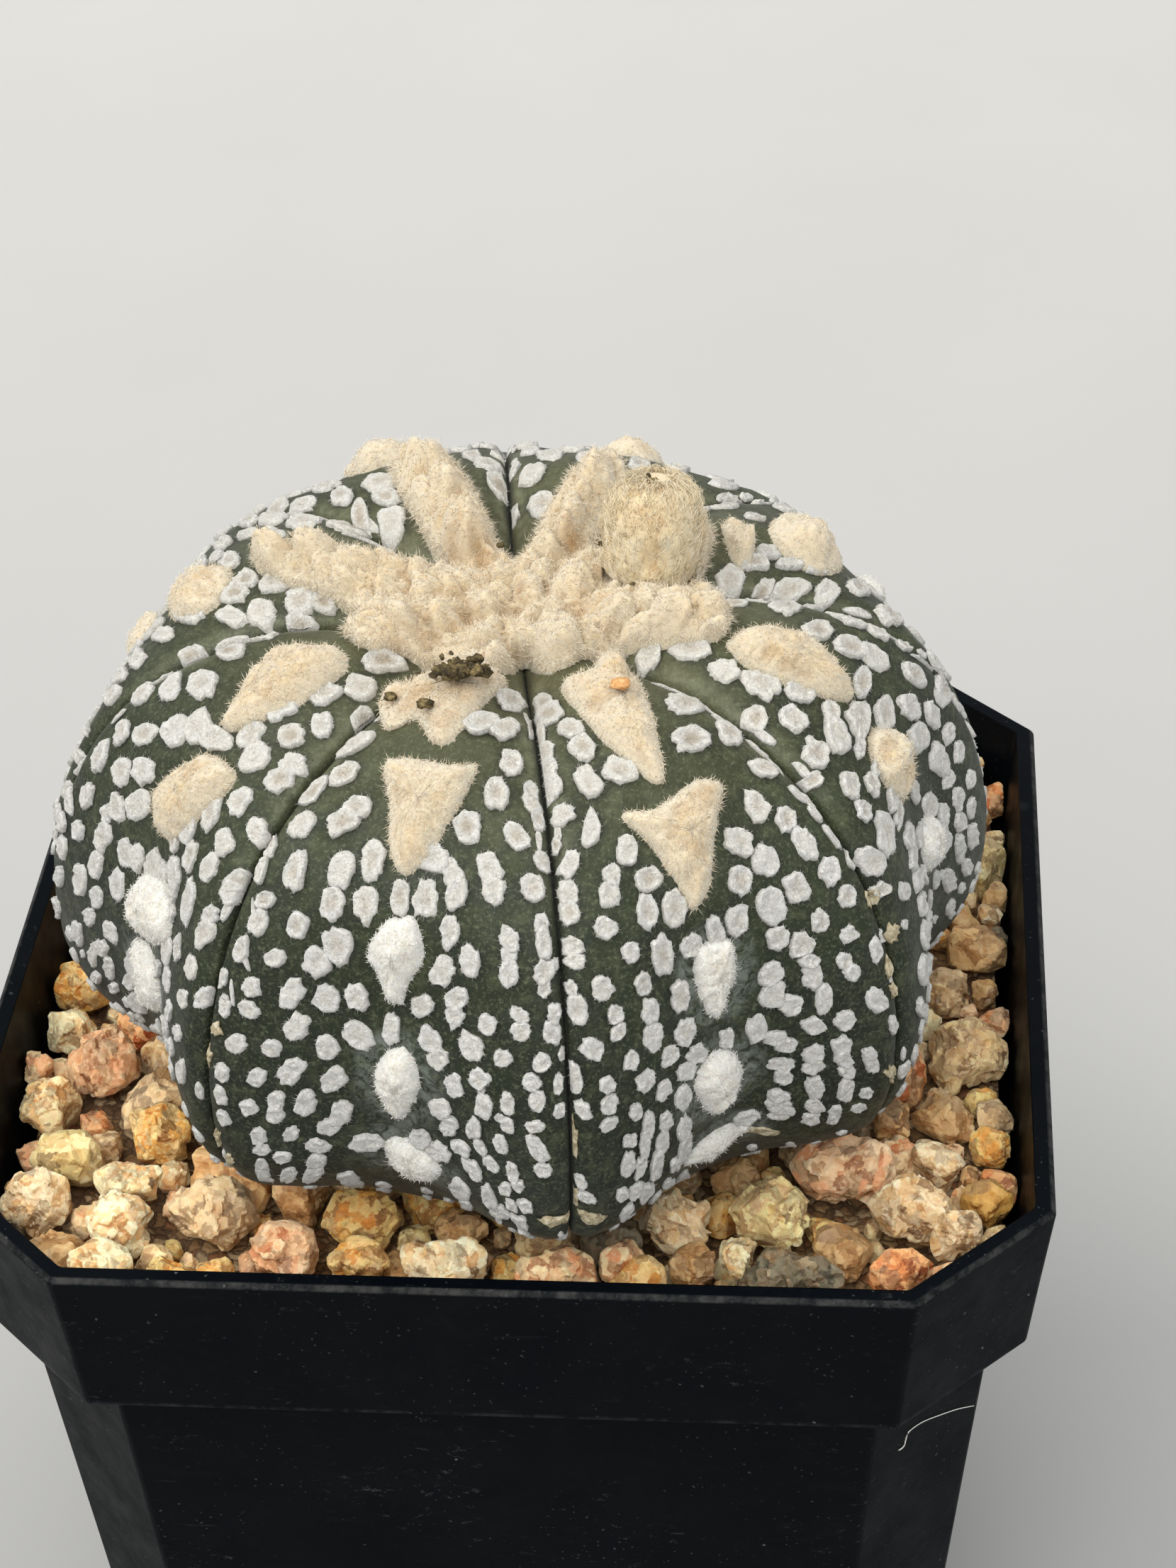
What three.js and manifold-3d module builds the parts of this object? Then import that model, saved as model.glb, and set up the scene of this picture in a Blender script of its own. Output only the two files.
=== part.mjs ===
// A star cactus of the white-flecked, eight-ribbed kind, growing in a square plastic nursery pot
// that is filled with potting mix and topped with coarse granite grit.
// Millimetres, +Z up. The origin is the centre of the pot's flat base; the photographed side faces -Y.
import * as THREE from "three";
import { mergeVertices } from "three/addons/utils/BufferGeometryUtils.js";
import { ConvexGeometry } from "three/addons/geometries/ConvexGeometry.js";
import Module from "manifold-3d";

const wasm = await Module();
wasm.setup();

// ---------------------------------------------------------------- driving dimensions
const GAP = 0.3; // clearance between pieces that touch

const POT_HEIGHT = 80;
const POT_BASE_HALF = 32.06; // half width across the flats at the base
const POT_BODY_HALF = 38.25; // half width of the body just under the band
const POT_BAND_BOTTOM = 65.6; // height of the band's lower edge
const POT_BAND_HALF = 40.85; // half width at the band's lower edge
const POT_RIM_HALF = 42.5; // half width at the rim
const POT_WALL = 1.55;
const POT_FLOOR = 2.0;
const CORNER_BASE = 7.2; // legs of the corner chamfers
const CORNER_BODY = 8.8;
const CORNER_BAND = 9.97;
const CORNER_RIM = 10.43;
const DRAIN_RADIUS = 2.4;
const DRAIN_OFFSET = 14;

const MIX_TOP = 63.6;
const BED_TOP = 71.9; // level that the large stones stand on
const BACK_BED_RISE = 3.2; // the grit is left as one bed behind the plant, so it is higher there

// The plant: an oblate body with its own centre, half axes and lean.
const PLANT_CENTRE = [0.77, -6.41, 95.64];
const PLANT_A = 35.66; // horizontal half axis
const PLANT_C = 25.56; // vertical half axis
const PLANT_LEAN = [0.02063, -0.05726]; // radians towards +X and +Y
const CREASES = [9.3, 49.22, 96.92, 141.77, 190.81, 235.59, 280.2, 324.51]; // degrees
const AREOLE_ROWS = [31.74, 73.74, 118.4, 166.64, 215.35, 257.94, 302.88, 348.42];
// Offsets from the plain oblate shape, at latitudes -75 to 90 in steps of 5 degrees:
// the mean of the section, and half the difference between areole row and crease.
const MEAN = [-0.43, -0.99, -1.43, -1.75, -1.96, -2.08, -2.12, -1.93, -1.49, -0.96, -0.52, -0.34, -0.44, -0.65, -0.87, -0.97, -0.92, -0.81, -0.64, -0.45, -0.08, 0.49, 1.01, 1.23, 1.18, 1.04, 0.83, 0.49, -0.47, -1.72, -2.72, -3.5, -4.19, -4.79];
const LOBE = [0.92, 0.91, 0.89, 0.85, 0.8, 0.74, 0.66, 0.31, -0.4, -1.23, -1.91, -2.2, -2.18, -2.13, -2.07, -2.0, -1.91, -1.79, -1.64, -1.47, -1.25, -0.95, -0.63, -0.33, -0.03, 0.28, 0.54, 0.71, 0.84, 0.94, 0.96, 0.82, 0.51, 0.09];

const BUD_RADIUS = 3.95;
const BUD_HEIGHT = 8.9;

// Large grit stones that show: x, y, height of the centre, and half sizes.
const STONES = [
  ["ochre", -38.2, -0.3, 74.1, 3.2, 2.9, 2.9],
  ["cream", -37.9, -6.25, 74.1, 2.5, 2.4, 2.4],
  ["pink", -33.8, -10.9, 74.5, 3.5, 3.5, 3.5],
  ["cream", -37.4, -16.5, 74.6, 3.0, 2.9, 2.9],
  ["ochre", -28.0, -19.1, 74.4, 3.3, 3.1, 3.1],
  ["olive", -34.5, -22.9, 74.8, 3.7, 2.7, 2.7],
  ["cream", -36.2, -28.6, 75.2, 3.2, 3.2, 3.2],
  ["cream", -29.2, -30.8, 75.6, 3.1, 2.9, 2.9],
  ["grey", -22.0, -29.5, 75.7, 3.9, 3.3, 3.3],
  ["cream", -29.6, -36.2, 76.0, 3.2, 2.5, 2.4],
  ["pink", -15.9, -34.0, 75.8, 3.2, 2.9, 2.7],
  ["ochre", -10.6, -29.4, 75.6, 3.6, 2.5, 2.4],
  ["cream", -3.2, -35.0, 76.0, 4.2, 2.7, 2.5],
  ["pink", 4.9, -35.9, 76.3, 3.9, 2.5, 2.2],
  ["cream", 13.9, -29.4, 75.9, 3.2, 3.1, 3.0],
  ["grey", 21.2, -28.2, 76.3, 3.6, 3.2, 3.2],
  ["pink", 26.3, -22.9, 76.3, 4.9, 3.2, 3.2],
  ["dark", 22.6, -35.2, 75.6, 4.8, 2.9, 2.9],
  ["cream", 31.9, -27.0, 75.8, 4.0, 3.2, 3.2],
  ["orange", 30.9, -34.8, 75.9, 3.3, 2.4, 2.4],
  ["olive", 37.6, -25.4, 75.2, 2.4, 1.9, 1.9],
  ["grey", 36.4, -6.3, 73.3, 4.2, 4.4, 4.2],
  ["tan", 34.4, -14.2, 73.6, 3.0, 2.4, 2.4],
  ["ochre", 38.0, -18.3, 74.7, 2.1, 1.8, 1.8],
  ["olive", 38.6, 19.6, 73.4, 1.7, 4.6, 3.8],
  ["tan", 36.9, 7.8, 73.9, 3.4, 2.4, 2.1],
  ["ochre", 11.4, -36.0, 75.7, 2.4, 2.2, 2.1],
];

// Wool tufts on the areoles: outline of each as azimuth, latitude pairs on the body, and its thickness.
const TUFTS = {
  wool_front_left_1: [1.4, [246, 70, 252, 73, 260, 73, 266, 71, 264, 63, 260, 58, 256, 60, 250, 62, 243, 63, 240, 66]],
  wool_front_left_2: [1.5, [248, 55, 252, 56, 258, 56, 262, 56, 267, 57, 266, 54, 264, 50, 261, 44, 258, 41, 255, 44, 253, 50]],
  wool_front_left_3: [1.6, [257, 35, 260, 36, 261.5, 34, 262, 31, 260, 27, 259.5, 23.5, 257.5, 23.5, 256.5, 27, 254.5, 30, 255.5, 33]],
  wool_front_left_4: [1.6, [257.5, 13, 259.5, 15, 261.5, 13, 262, 8, 260.5, 2, 259, -2, 257, 2, 256, 8]],
  wool_front_left_5: [1.1, [256.5, -10, 260, -8, 264, -11, 263, -18, 259, -21, 257, -17]],
  wool_front_right_1: [1.5, [296, 71, 302, 70, 308, 72, 311, 67, 306, 62, 303, 56, 300, 50, 297, 54, 294, 60, 292, 66]],
  wool_front_right_2: [1.6, [292, 49, 298, 48, 303, 49, 308, 50, 312, 48, 308, 45, 305, 41, 302, 36, 299, 34, 298, 39, 296, 44]],
  wool_front_right_3: [1.7, [299, 28.5, 301.5, 29, 304, 28, 304, 23, 302, 19, 300.5, 16, 299, 19, 298, 25]],
  wool_front_right_4: [1.6, [298, 8, 300, 9, 302, 8, 304, 1, 302, -4, 300, -6, 298, -3, 296.5, 4]],
  wool_front_right_5: [1.0, [306, -14, 302, -13, 297, -14, 296, -18, 301, -23, 305, -18]],
  wool_left_1: [1.7, [217, 66, 222, 64, 224, 60, 221, 54, 217, 49, 214, 48, 211, 53, 206, 57, 204, 60, 209, 63]],
  wool_left_2: [1.8, [215, 44, 219, 45, 224, 45, 224, 42, 222, 37, 219, 32, 215, 31, 212, 34, 212, 39]],
  wool_left_3: [1.7, [214, 23, 219, 25, 223, 23, 224, 18, 219, 13, 213, 11, 211.5, 17]],
  wool_left_4: [1.4, [213, 8, 217, 10, 221, 7, 221, 0, 217, -6, 213, -2]],
  wool_back_left_2: [2.0, [169, 52, 174, 53, 180, 51, 180, 47, 176, 43, 170, 42, 167, 46]],
  wool_back_left_3: [1.8, [162, 31, 166, 33, 171, 31, 170, 25, 166, 20, 162, 25]],
  wool_back_2: [1.6, [114, 50, 120, 52, 126, 50, 127, 44, 120, 40, 113, 44]],
  wool_back_3: [1.7, [115, 30, 119, 32, 124, 30, 123, 24, 119, 19, 116, 24]],
  wool_back_right_2: [1.6, [69, 47, 74, 49, 79, 47, 79, 41, 74, 37, 69, 41]],
  wool_back_right_3: [1.7, [70, 30, 74, 32, 78, 30, 77, 24, 74, 19, 71, 24]],
  wool_right_back_2: [1.7, [17, 61, 24, 62, 32, 61, 33, 59, 25, 58, 18, 59]],
  wool_right_back_3: [2.0, [23, 54, 30, 54, 36, 50, 37, 45, 30, 42, 22, 45, 19, 50]],
  wool_right_back_4: [1.8, [27, 31, 31, 33, 35, 31, 34, 25, 31, 20, 28, 25]],
  wool_right_1: [1.8, [346, 61, 350, 58, 353, 54, 350, 48, 346, 44, 342, 48, 338, 54, 337, 59, 341, 62]],
  wool_right_2: [1.8, [340, 39, 344, 40, 348, 37, 348, 32, 344, 29, 340, 30, 338, 35]],
  wool_right_3: [1.6, [343, 19, 347, 21, 351, 18, 351, 13, 347, 10, 344, 13]],
};

// ---------------------------------------------------------------- helpers
function seeded(seed) {
  let s = seed >>> 0;
  return () => {
    s = (s + 0x6d2b79f5) >>> 0;
    let t = s;
    t = Math.imul(t ^ (t >>> 15), t | 1);
    t ^= t + Math.imul(t ^ (t >>> 7), t | 61);
    return ((t ^ (t >>> 14)) >>> 0) / 4294967296;
  };
}

function toSolid(geometry) {
  const g = geometry.clone();
  for (const name of ["normal", "uv", "color"]) if (g.getAttribute(name)) g.deleteAttribute(name);
  const m = mergeVertices(g, 1e-4);
  const tri = new Uint32Array(m.index.array);
  let s = new wasm.Manifold(new wasm.Mesh({ numProp: 3, vertProperties: new Float32Array(m.attributes.position.array), triVerts: tri }));
  if (s.volume() < 0) {
    for (let i = 0; i < tri.length; i += 3) [tri[i + 1], tri[i + 2]] = [tri[i + 2], tri[i + 1]];
    s = new wasm.Manifold(new wasm.Mesh({ numProp: 3, vertProperties: new Float32Array(m.attributes.position.array), triVerts: tri }));
  }
  return s;
}

function toGeometry(solid) {
  const m = solid.getMesh();
  const n = m.numProp;
  const v = new Float32Array(m.numVert * 3);
  for (let i = 0; i < m.numVert; i++) for (let k = 0; k < 3; k++) v[i * 3 + k] = m.vertProperties[i * n + k];
  const g = new THREE.BufferGeometry();
  g.setAttribute("position", new THREE.BufferAttribute(v, 3));
  g.setIndex(new THREE.BufferAttribute(new Uint32Array(m.triVerts), 1));
  g.computeVertexNormals();
  return g;
}

function biggestBody(solid) {
  const parts = solid.decompose();
  if (parts.length < 2) return solid;
  return parts.reduce((a, b) => (b.volume() > a.volume() ? b : a));
}

// A closed solid through stacked rings of equal point counts, each end closed by a fan about its middle.
function loft(rings, startApex, endApex) {
  const n = rings[0].length;
  const pts = [];
  for (const r of rings) for (const p of r) pts.push(p.x, p.y, p.z);
  const middle = (r) => r.reduce((a, p) => a.add(p), new THREE.Vector3()).divideScalar(n);
  const a = startApex || middle(rings[0]);
  const b = endApex || middle(rings[rings.length - 1]);
  pts.push(a.x, a.y, a.z, b.x, b.y, b.z);
  const ia = rings.length * n;
  const ib = ia + 1;
  const idx = [];
  for (let k = 0; k + 1 < rings.length; k++)
    for (let i = 0; i < n; i++) {
      const j = (i + 1) % n;
      const p = k * n + i, q = k * n + j, r = (k + 1) * n + j, s = (k + 1) * n + i;
      idx.push(p, q, r, p, r, s);
    }
  const last = (rings.length - 1) * n;
  for (let i = 0; i < n; i++) {
    const j = (i + 1) % n;
    idx.push(ia, j, i);
    idx.push(ib, last + i, last + j);
  }
  const g = new THREE.BufferGeometry();
  g.setAttribute("position", new THREE.BufferAttribute(new Float32Array(pts), 3));
  g.setIndex(idx);
  return g;
}

// Outline of a square with cut corners, anticlockwise from above.
function cutSquare(half, leg, z) {
  const h = half, c = half - leg;
  return [
    [h, -c], [h, c], [c, h], [-c, h], [-h, c], [-h, -c], [-c, -h], [c, -h],
  ].map(([x, y]) => new THREE.Vector3(x, y, z));
}

function table(values, lat) {
  const t = Math.min(Math.max((lat + 75) / 5, 0), values.length - 1.000001);
  const i = Math.floor(t);
  return values[i] + (values[i + 1] - values[i]) * (t - i);
}

const phaseKnots = [
  ...CREASES.map((a) => [a, 1]),
  ...AREOLE_ROWS.map((a) => [a, 0]),
].sort((p, q) => p[0] - q[0]);

// 0 on an areole row, 1 on a crease.
function phase(az) {
  const a = ((az % 360) + 360) % 360;
  const k = phaseKnots, n = k.length;
  for (let i = 0; i < n; i++) {
    const p = k[i], q = k[(i + 1) % n];
    const lo = i === n - 1 && a < k[0][0] ? p[0] - 360 : p[0];
    const hi = i === n - 1 && a >= k[0][0] ? q[0] + 360 : q[0];
    if (a >= lo && a <= hi) return p[1] + ((q[1] - p[1]) * (a - lo)) / (hi - lo);
  }
  return 0;
}

const axis = new THREE.Vector3(Math.tan(PLANT_LEAN[0]), Math.tan(PLANT_LEAN[1]), 1).normalize();
const east = new THREE.Vector3(1, 0, 0).addScaledVector(axis, -axis.x).normalize();
const north = new THREE.Vector3().crossVectors(axis, east);
function place(x, y, z) {
  return new THREE.Vector3(...PLANT_CENTRE).addScaledVector(east, x).addScaledVector(north, y).addScaledVector(axis, z);
}

// A point over the plant's skin, at an azimuth and latitude in degrees and a height above the skin.
function skin(az, lat, lift = 0) {
  const p = THREE.MathUtils.degToRad(az), t = THREE.MathUtils.degToRad(lat);
  const ct = Math.cos(t), st = Math.sin(t);
  const nx = (ct * Math.cos(p)) / PLANT_A, ny = (ct * Math.sin(p)) / PLANT_A, nz = st / PLANT_C;
  const nl = Math.hypot(nx, ny, nz);
  const fade = Math.min(Math.max(ct * 3, 0), 1);
  const d = table(MEAN, lat) + table(LOBE, lat) * Math.cos(Math.PI * phase(az)) * fade + lift;
  return place(
    PLANT_A * ct * Math.cos(p) + (nx / nl) * d,
    PLANT_A * ct * Math.sin(p) + (ny / nl) * d,
    PLANT_C * st + (nz / nl) * d,
  );
}

// ---------------------------------------------------------------- the group
const pot_plant = new THREE.Group();
pot_plant.name = "potted_star_cactus";
function add(name, geometry, color, roughness = 0.8, metalness = 0) {
  geometry.computeVertexNormals();
  const mesh = new THREE.Mesh(geometry, new THREE.MeshStandardMaterial({ color, roughness, metalness }));
  mesh.name = name;
  pot_plant.add(mesh);
  return mesh;
}

// ---------------------------------------------------------------- pot
// One moulding: tapered square body with cut corners, a thicker stepped band at the top, and a flat
// base with four drainage holes. The profile runs up the outside, over the lip and down the inside.
const innerHalf = (z) =>
  z <= POT_BAND_BOTTOM - 2
    ? POT_BASE_HALF + ((POT_BODY_HALF - POT_BASE_HALF) * z) / POT_BAND_BOTTOM - POT_WALL
    : POT_BAND_HALF + ((POT_RIM_HALF - POT_BAND_HALF) * (z - POT_BAND_BOTTOM)) / (POT_HEIGHT - POT_BAND_BOTTOM) - POT_WALL;
const INNER_STEP_LOW = POT_BAND_BOTTOM - 2;
const INNER_STEP_HIGH = POT_BAND_BOTTOM + 1;
const potRings = [
  cutSquare(POT_BASE_HALF - 0.8, CORNER_BASE - 0.3, 0),
  cutSquare(POT_BASE_HALF, CORNER_BASE, 0.8),
  cutSquare(POT_BODY_HALF, CORNER_BODY, POT_BAND_BOTTOM),
  cutSquare(POT_BAND_HALF, CORNER_BAND, POT_BAND_BOTTOM),
  cutSquare(POT_RIM_HALF, CORNER_RIM, POT_HEIGHT - 0.35),
  cutSquare(POT_RIM_HALF - 0.35, CORNER_RIM - 0.15, POT_HEIGHT),
  cutSquare(POT_RIM_HALF - POT_WALL, CORNER_RIM - 0.94, POT_HEIGHT),
  cutSquare(innerHalf(INNER_STEP_HIGH), CORNER_BAND - 0.8, INNER_STEP_HIGH),
  cutSquare(innerHalf(INNER_STEP_LOW), CORNER_BODY - 0.8, INNER_STEP_LOW),
  cutSquare(innerHalf(POT_FLOOR), CORNER_BASE - 0.8, POT_FLOOR),
];
let pot = toSolid(loft(potRings));
for (const [sx, sy] of [[1, 1], [-1, 1], [-1, -1], [1, -1]]) {
  const hole = new THREE.CylinderGeometry(DRAIN_RADIUS, DRAIN_RADIUS, 12, 16);
  hole.rotateX(Math.PI / 2);
  hole.translate(sx * DRAIN_OFFSET, sy * DRAIN_OFFSET, 0);
  pot = pot.subtract(toSolid(hole));
}
add("pot", toGeometry(pot), 0x181c20, 0.55);

// ---------------------------------------------------------------- cactus body
// Eight lobes grown as one body on a taproot. Near the crown the areole rows stand proud and the
// creases are valleys; lower down each lobe swells about its crease and the rows lie in the notches.
const AZ_STEPS = 72;
const BODY_LATS = [84, 77, 70, 62, 54, 45, 35, 25, 15, 5, -5, -15, -25, -35, -46, -57, -66];
const ROOT = [[-25.6, 8.5], [-29, 6.4], [-36, 5.2], [-46, 3.8], [-56, 2.2]]; // height below the centre, radius
function bodyRings(lift) {
  const az = (i) => (360 * i) / AZ_STEPS;
  const rings = BODY_LATS.map((lat) => Array.from({ length: AZ_STEPS }, (_, i) => skin(az(i), lat, lift)));
  for (const [z, r] of ROOT)
    rings.push(
      Array.from({ length: AZ_STEPS }, (_, i) => {
        const p = THREE.MathUtils.degToRad(az(i));
        return place((r + lift) * Math.cos(p), (r + lift) * Math.sin(p), z - lift * 0.3);
      }),
    );
  return rings;
}
const bodyGeometry = (lift) => loft(bodyRings(lift), skin(0, 90, lift), place(0, 0, -60 - lift));
add("cactus_body", toGeometry(toSolid(bodyGeometry(0))), 0x46543c, 0.75);
const bodyClear = toSolid(bodyGeometry(GAP + 0.06));

// ---------------------------------------------------------------- potting mix
let mix = toSolid(
  loft([
    cutSquare(innerHalf(POT_FLOOR) - GAP, CORNER_BASE - 0.7, POT_FLOOR + GAP),
    cutSquare(innerHalf(INNER_STEP_LOW) - GAP, CORNER_BODY - 0.7, INNER_STEP_LOW - GAP),
  ]),
);
mix = biggestBody(mix.subtract(bodyClear));
add("potting_mix", toGeometry(mix), 0x2c231b, 0.95);

// ---------------------------------------------------------------- grit bed
// The lower grit as one lumpy layer around the plant's neck.
const noise = seeded(17);
const bedOutline = (scale, z) => {
  const pts = [];
  const base = cutSquare((innerHalf(POT_BAND_BOTTOM + 2) - GAP - 0.15), CORNER_BAND - 0.7, z);
  for (let i = 0; i < base.length; i++) {
    const a = base[i], b = base[(i + 1) % base.length];
    const steps = i % 2 === 0 ? 6 : 2;
    for (let k = 0; k < steps; k++) pts.push(a.clone().lerp(b, k / steps).multiply(new THREE.Vector3(scale, scale, 1)));
  }
  return pts;
};
const bedHeight = (x, y) => BED_TOP + BACK_BED_RISE * THREE.MathUtils.smoothstep(y, 27, 33);
const bedRings = [bedOutline(0.93, INNER_STEP_LOW + 0.15), bedOutline(1, INNER_STEP_HIGH + 0.6)];
for (const s of [1, 0.92, 0.84, 0.76, 0.68, 0.6, 0.5, 0.36])
  bedRings.push(bedOutline(s, BED_TOP).map((p) => p.setZ(bedHeight(p.x, p.y) - (s < 1 ? noise() * 0.7 : 0.4))));
let bed = toSolid(loft(bedRings, new THREE.Vector3(0, 0, INNER_STEP_LOW + 0.15), new THREE.Vector3(0, 0, BED_TOP - 0.3)));
bed = biggestBody(bed.subtract(bodyClear));
add("gravel_bed", toGeometry(bed), 0x8a7558, 0.9);

// ---------------------------------------------------------------- large stones
// Sharp broken grains: each is a convex lump, parted from its neighbours by a plane, clear of the
// pot's wall and of the plant, and flat below where it stands on the bed.
const STONE_COLOURS = { ochre: 0xb98d4e, cream: 0xc9b896, pink: 0xc79a7e, olive: 0xa8a274, grey: 0x9c9284, dark: 0x5a5c50, orange: 0xb9764a, tan: 0x9b7f5f };
function halfSpace(point, normal, size = 60) {
  const g = new THREE.BoxGeometry(size, size, size);
  g.translate(0, 0, size / 2);
  g.applyQuaternion(new THREE.Quaternion().setFromUnitVectors(new THREE.Vector3(0, 0, 1), normal));
  g.translate(point.x, point.y, point.z);
  return toSolid(g);
}
const wallClear = toSolid(loft([
  cutSquare(innerHalf(BED_TOP) - GAP, CORNER_BAND - 0.5, BED_TOP + GAP),
  cutSquare(innerHalf(POT_HEIGHT + 4) - GAP, CORNER_RIM - 0.9, POT_HEIGHT + 4),
]));
const support = (s, n) => Math.hypot(s[4] * n.x, s[5] * n.y, s[6] * n.z);
STONES.forEach((s, i) => {
  const rnd = seeded(101 + i * 13);
  const centre = new THREE.Vector3(s[1], s[2], s[3]);
  const pts = [];
  for (let k = 0; k < 18; k++) {
    const u = -1 + (2 * (k + 0.5)) / 18, a = k * 2.39996 + rnd() * 0.7;
    const w = Math.sqrt(1 - u * u), f = 0.92 + rnd() * 0.16;
    const down = u < 0 ? Math.max(1, (s[3] - BED_TOP) / s[6]) : 1;
    pts.push(new THREE.Vector3(
      centre.x + s[4] * w * Math.cos(a) * f,
      centre.y + s[5] * w * Math.sin(a) * f,
      centre.z + s[6] * u * f * down,
    ));
  }
  let lump = toSolid(new ConvexGeometry(pts)).intersect(wallClear);
  STONES.forEach((o, j) => {
    if (i === j) return;
    const n = new THREE.Vector3(o[1] - s[1], o[2] - s[2], (o[3] - s[3]) * 0.4);
    const dist = n.length();
    n.normalize();
    const a = support(s, n) * 1.09, b = support(o, n) * 1.09;
    if (a + b < dist - 0.3) return;
    const at = centre.clone().addScaledVector(n, (dist * a) / (a + b) - 0.17);
    lump = lump.subtract(halfSpace(at, n));
  });
  lump = biggestBody(lump.subtract(bodyClear));
  add("gravel_" + String(i + 1).padStart(2, "0"), toGeometry(lump), STONE_COLOURS[s[0]], 0.85);
});

// ---------------------------------------------------------------- fruit and flower remains
// A woolly barrel-shaped bud at the first areole of the right-hand back row, and the dried remains of an old flower.
const budFoot = skin(15.5, 72.6, 0.5);
const budAxis = new THREE.Vector3(0.1, 0.12, 1).normalize();
function barrel(grow) {
  const prof = [[0, 0], [0.72, 0], [0.93, 0.14], [1, 0.4], [0.98, 0.62], [0.86, 0.82], [0.6, 0.95], [0, 1]].map(
    ([r, h]) => new THREE.Vector2(r === 0 ? 0 : r * BUD_RADIUS + grow, h * BUD_HEIGHT + (h < 0.5 ? -grow : grow)),
  );
  const g = new THREE.LatheGeometry(prof, 20);
  g.rotateX(Math.PI / 2);
  g.applyQuaternion(new THREE.Quaternion().setFromUnitVectors(new THREE.Vector3(0, 0, 1), budAxis));
  g.translate(budFoot.x, budFoot.y, budFoot.z + 0.5);
  return g;
}
const bud = biggestBody(toSolid(barrel(0)).subtract(bodyClear));
add("flower_bud", toGeometry(bud), 0xcdb58d, 0.95);
const budClear = toSolid(barrel(GAP));

const remainsAt = skin(258.5, 69.5, 2.5);
function lump(centre, rx, ry, rz, seed) {
  const rnd = seeded(seed), pts = [];
  for (let k = 0; k < 22; k++) {
    const u = -1 + (2 * (k + 0.5)) / 22, a = k * 2.39996, w = Math.sqrt(1 - u * u), f = 0.85 + rnd() * 0.3;
    pts.push(new THREE.Vector3(centre.x + rx * w * Math.cos(a) * f, centre.y + ry * w * Math.sin(a) * f, centre.z + rz * u * f));
  }
  return new ConvexGeometry(pts);
}
const remains = toSolid(lump(remainsAt, 1.7, 1.4, 0.8, 5)).subtract(bodyClear);
add("dried_flower", toGeometry(biggestBody(remains)), 0x3f3121, 0.95);
const remainsClear = toSolid(lump(remainsAt, 2.1, 1.8, 1.2, 5));

// ---------------------------------------------------------------- wool
// The crown's sunken centre is filled with felt, which runs out along the upper areole rows.
const ARMS = [ // azimuth and the latitude that the felt reaches there
  [9, 66], [20, 65], [31, 63], [40, 66], [49, 75], [60, 71], [65, 65], [70, 62.5], [75, 65], [81, 74], [97, 82], [105, 77], [110, 66],
  [113, 60], [118.5, 56], [124, 61], [130, 67], [136, 73], [142, 78], [160, 74], [164, 63], [167, 56], [172, 56], [178, 60], [182, 66],
  [191, 70], [206, 67.5], [214, 67.5], [219, 68], [223, 71], [235, 74], [250, 74], [262, 73.5], [271, 75], [277, 78], [283, 78], [289, 75], [296, 73.5], [303, 73.5], [316, 73],
  [330, 73], [337, 66], [341, 62.5], [349, 63], [355, 65],
];
function armReach(az) {
  const a = ((az % 360) + 360) % 360;
  for (let i = 0; i < ARMS.length; i++) {
    const p = ARMS[i], q = ARMS[(i + 1) % ARMS.length];
    const lo = p[0], hi = i === ARMS.length - 1 ? q[0] + 360 : q[0];
    const x = i === ARMS.length - 1 && a < ARMS[0][0] ? a + 360 : a;
    if (x >= lo && x <= hi) return p[1] + ((q[1] - p[1]) * (x - lo)) / (hi - lo);
  }
  return 75;
}
const WOOL_STEPS = 72;
const woolRing = (f, lift) =>
  Array.from({ length: WOOL_STEPS }, (_, i) => {
    const az = (360 * i) / WOOL_STEPS;
    return skin(az, 90 - (90 - armReach(az)) * f, lift + 0.25);
  });
const crownRings = [
  woolRing(0.35, GAP), woolRing(0.7, GAP), woolRing(1, GAP),
  woolRing(1, GAP + 0.9), woolRing(0.88, GAP + 2.1), woolRing(0.62, GAP + 2.9), woolRing(0.3, GAP + 3.4),
];
let crown = toSolid(loft(crownRings, skin(0, 90, GAP + 0.25), skin(0, 90, GAP + 3.8)));
crown = crown.subtract(budClear).subtract(remainsClear);

const tuftSolids = [];
for (const [name, [thick, flat]] of Object.entries(TUFTS)) {
  const pts = [];
  for (let i = 0; i < flat.length; i += 2) pts.push([flat[i], flat[i + 1]]);
  const mid = pts.reduce((a, p) => [a[0] + p[0] / pts.length, a[1] + p[1] / pts.length], [0, 0]);
  const ring = (f, lift) => pts.map((p) => skin(mid[0] + (p[0] - mid[0]) * f, mid[1] + (p[1] - mid[1]) * f, lift));
  const g = loft(
    [ring(0.5, GAP + 0.2), ring(1, GAP + 0.2), ring(1, GAP + 0.2 + 0.3 * thick), ring(0.66, GAP + 0.9 * thick)],
    skin(mid[0], mid[1], GAP + 0.2),
    skin(mid[0], mid[1], GAP + thick),
  );
  let s = toSolid(g);
  if (name === "wool_front_left_1") s = s.subtract(remainsClear);
  if (name === "wool_right_back_2") s = s.subtract(budClear);
  tuftSolids.push([name, biggestBody(s), toSolid(loft(
    [ring(0.5, -0.6), ring(1.12, -0.6), ring(1.12, 0.5 * thick + GAP), ring(0.8, GAP + 0.3 + thick), ring(0.35, GAP + 0.35 + thick)],
    skin(mid[0], mid[1], -0.6), skin(mid[0], mid[1], GAP + 0.35 + thick),
  ))]);
}
for (const [, , clear] of tuftSolids) crown = crown.subtract(clear);
crown = biggestBody(crown);
add("crown_wool", toGeometry(crown), 0xd9caa0, 1);
for (const [name, s] of tuftSolids) add(name, toGeometry(s), 0xe6dfc8, 1);

export default pot_plant;
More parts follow.
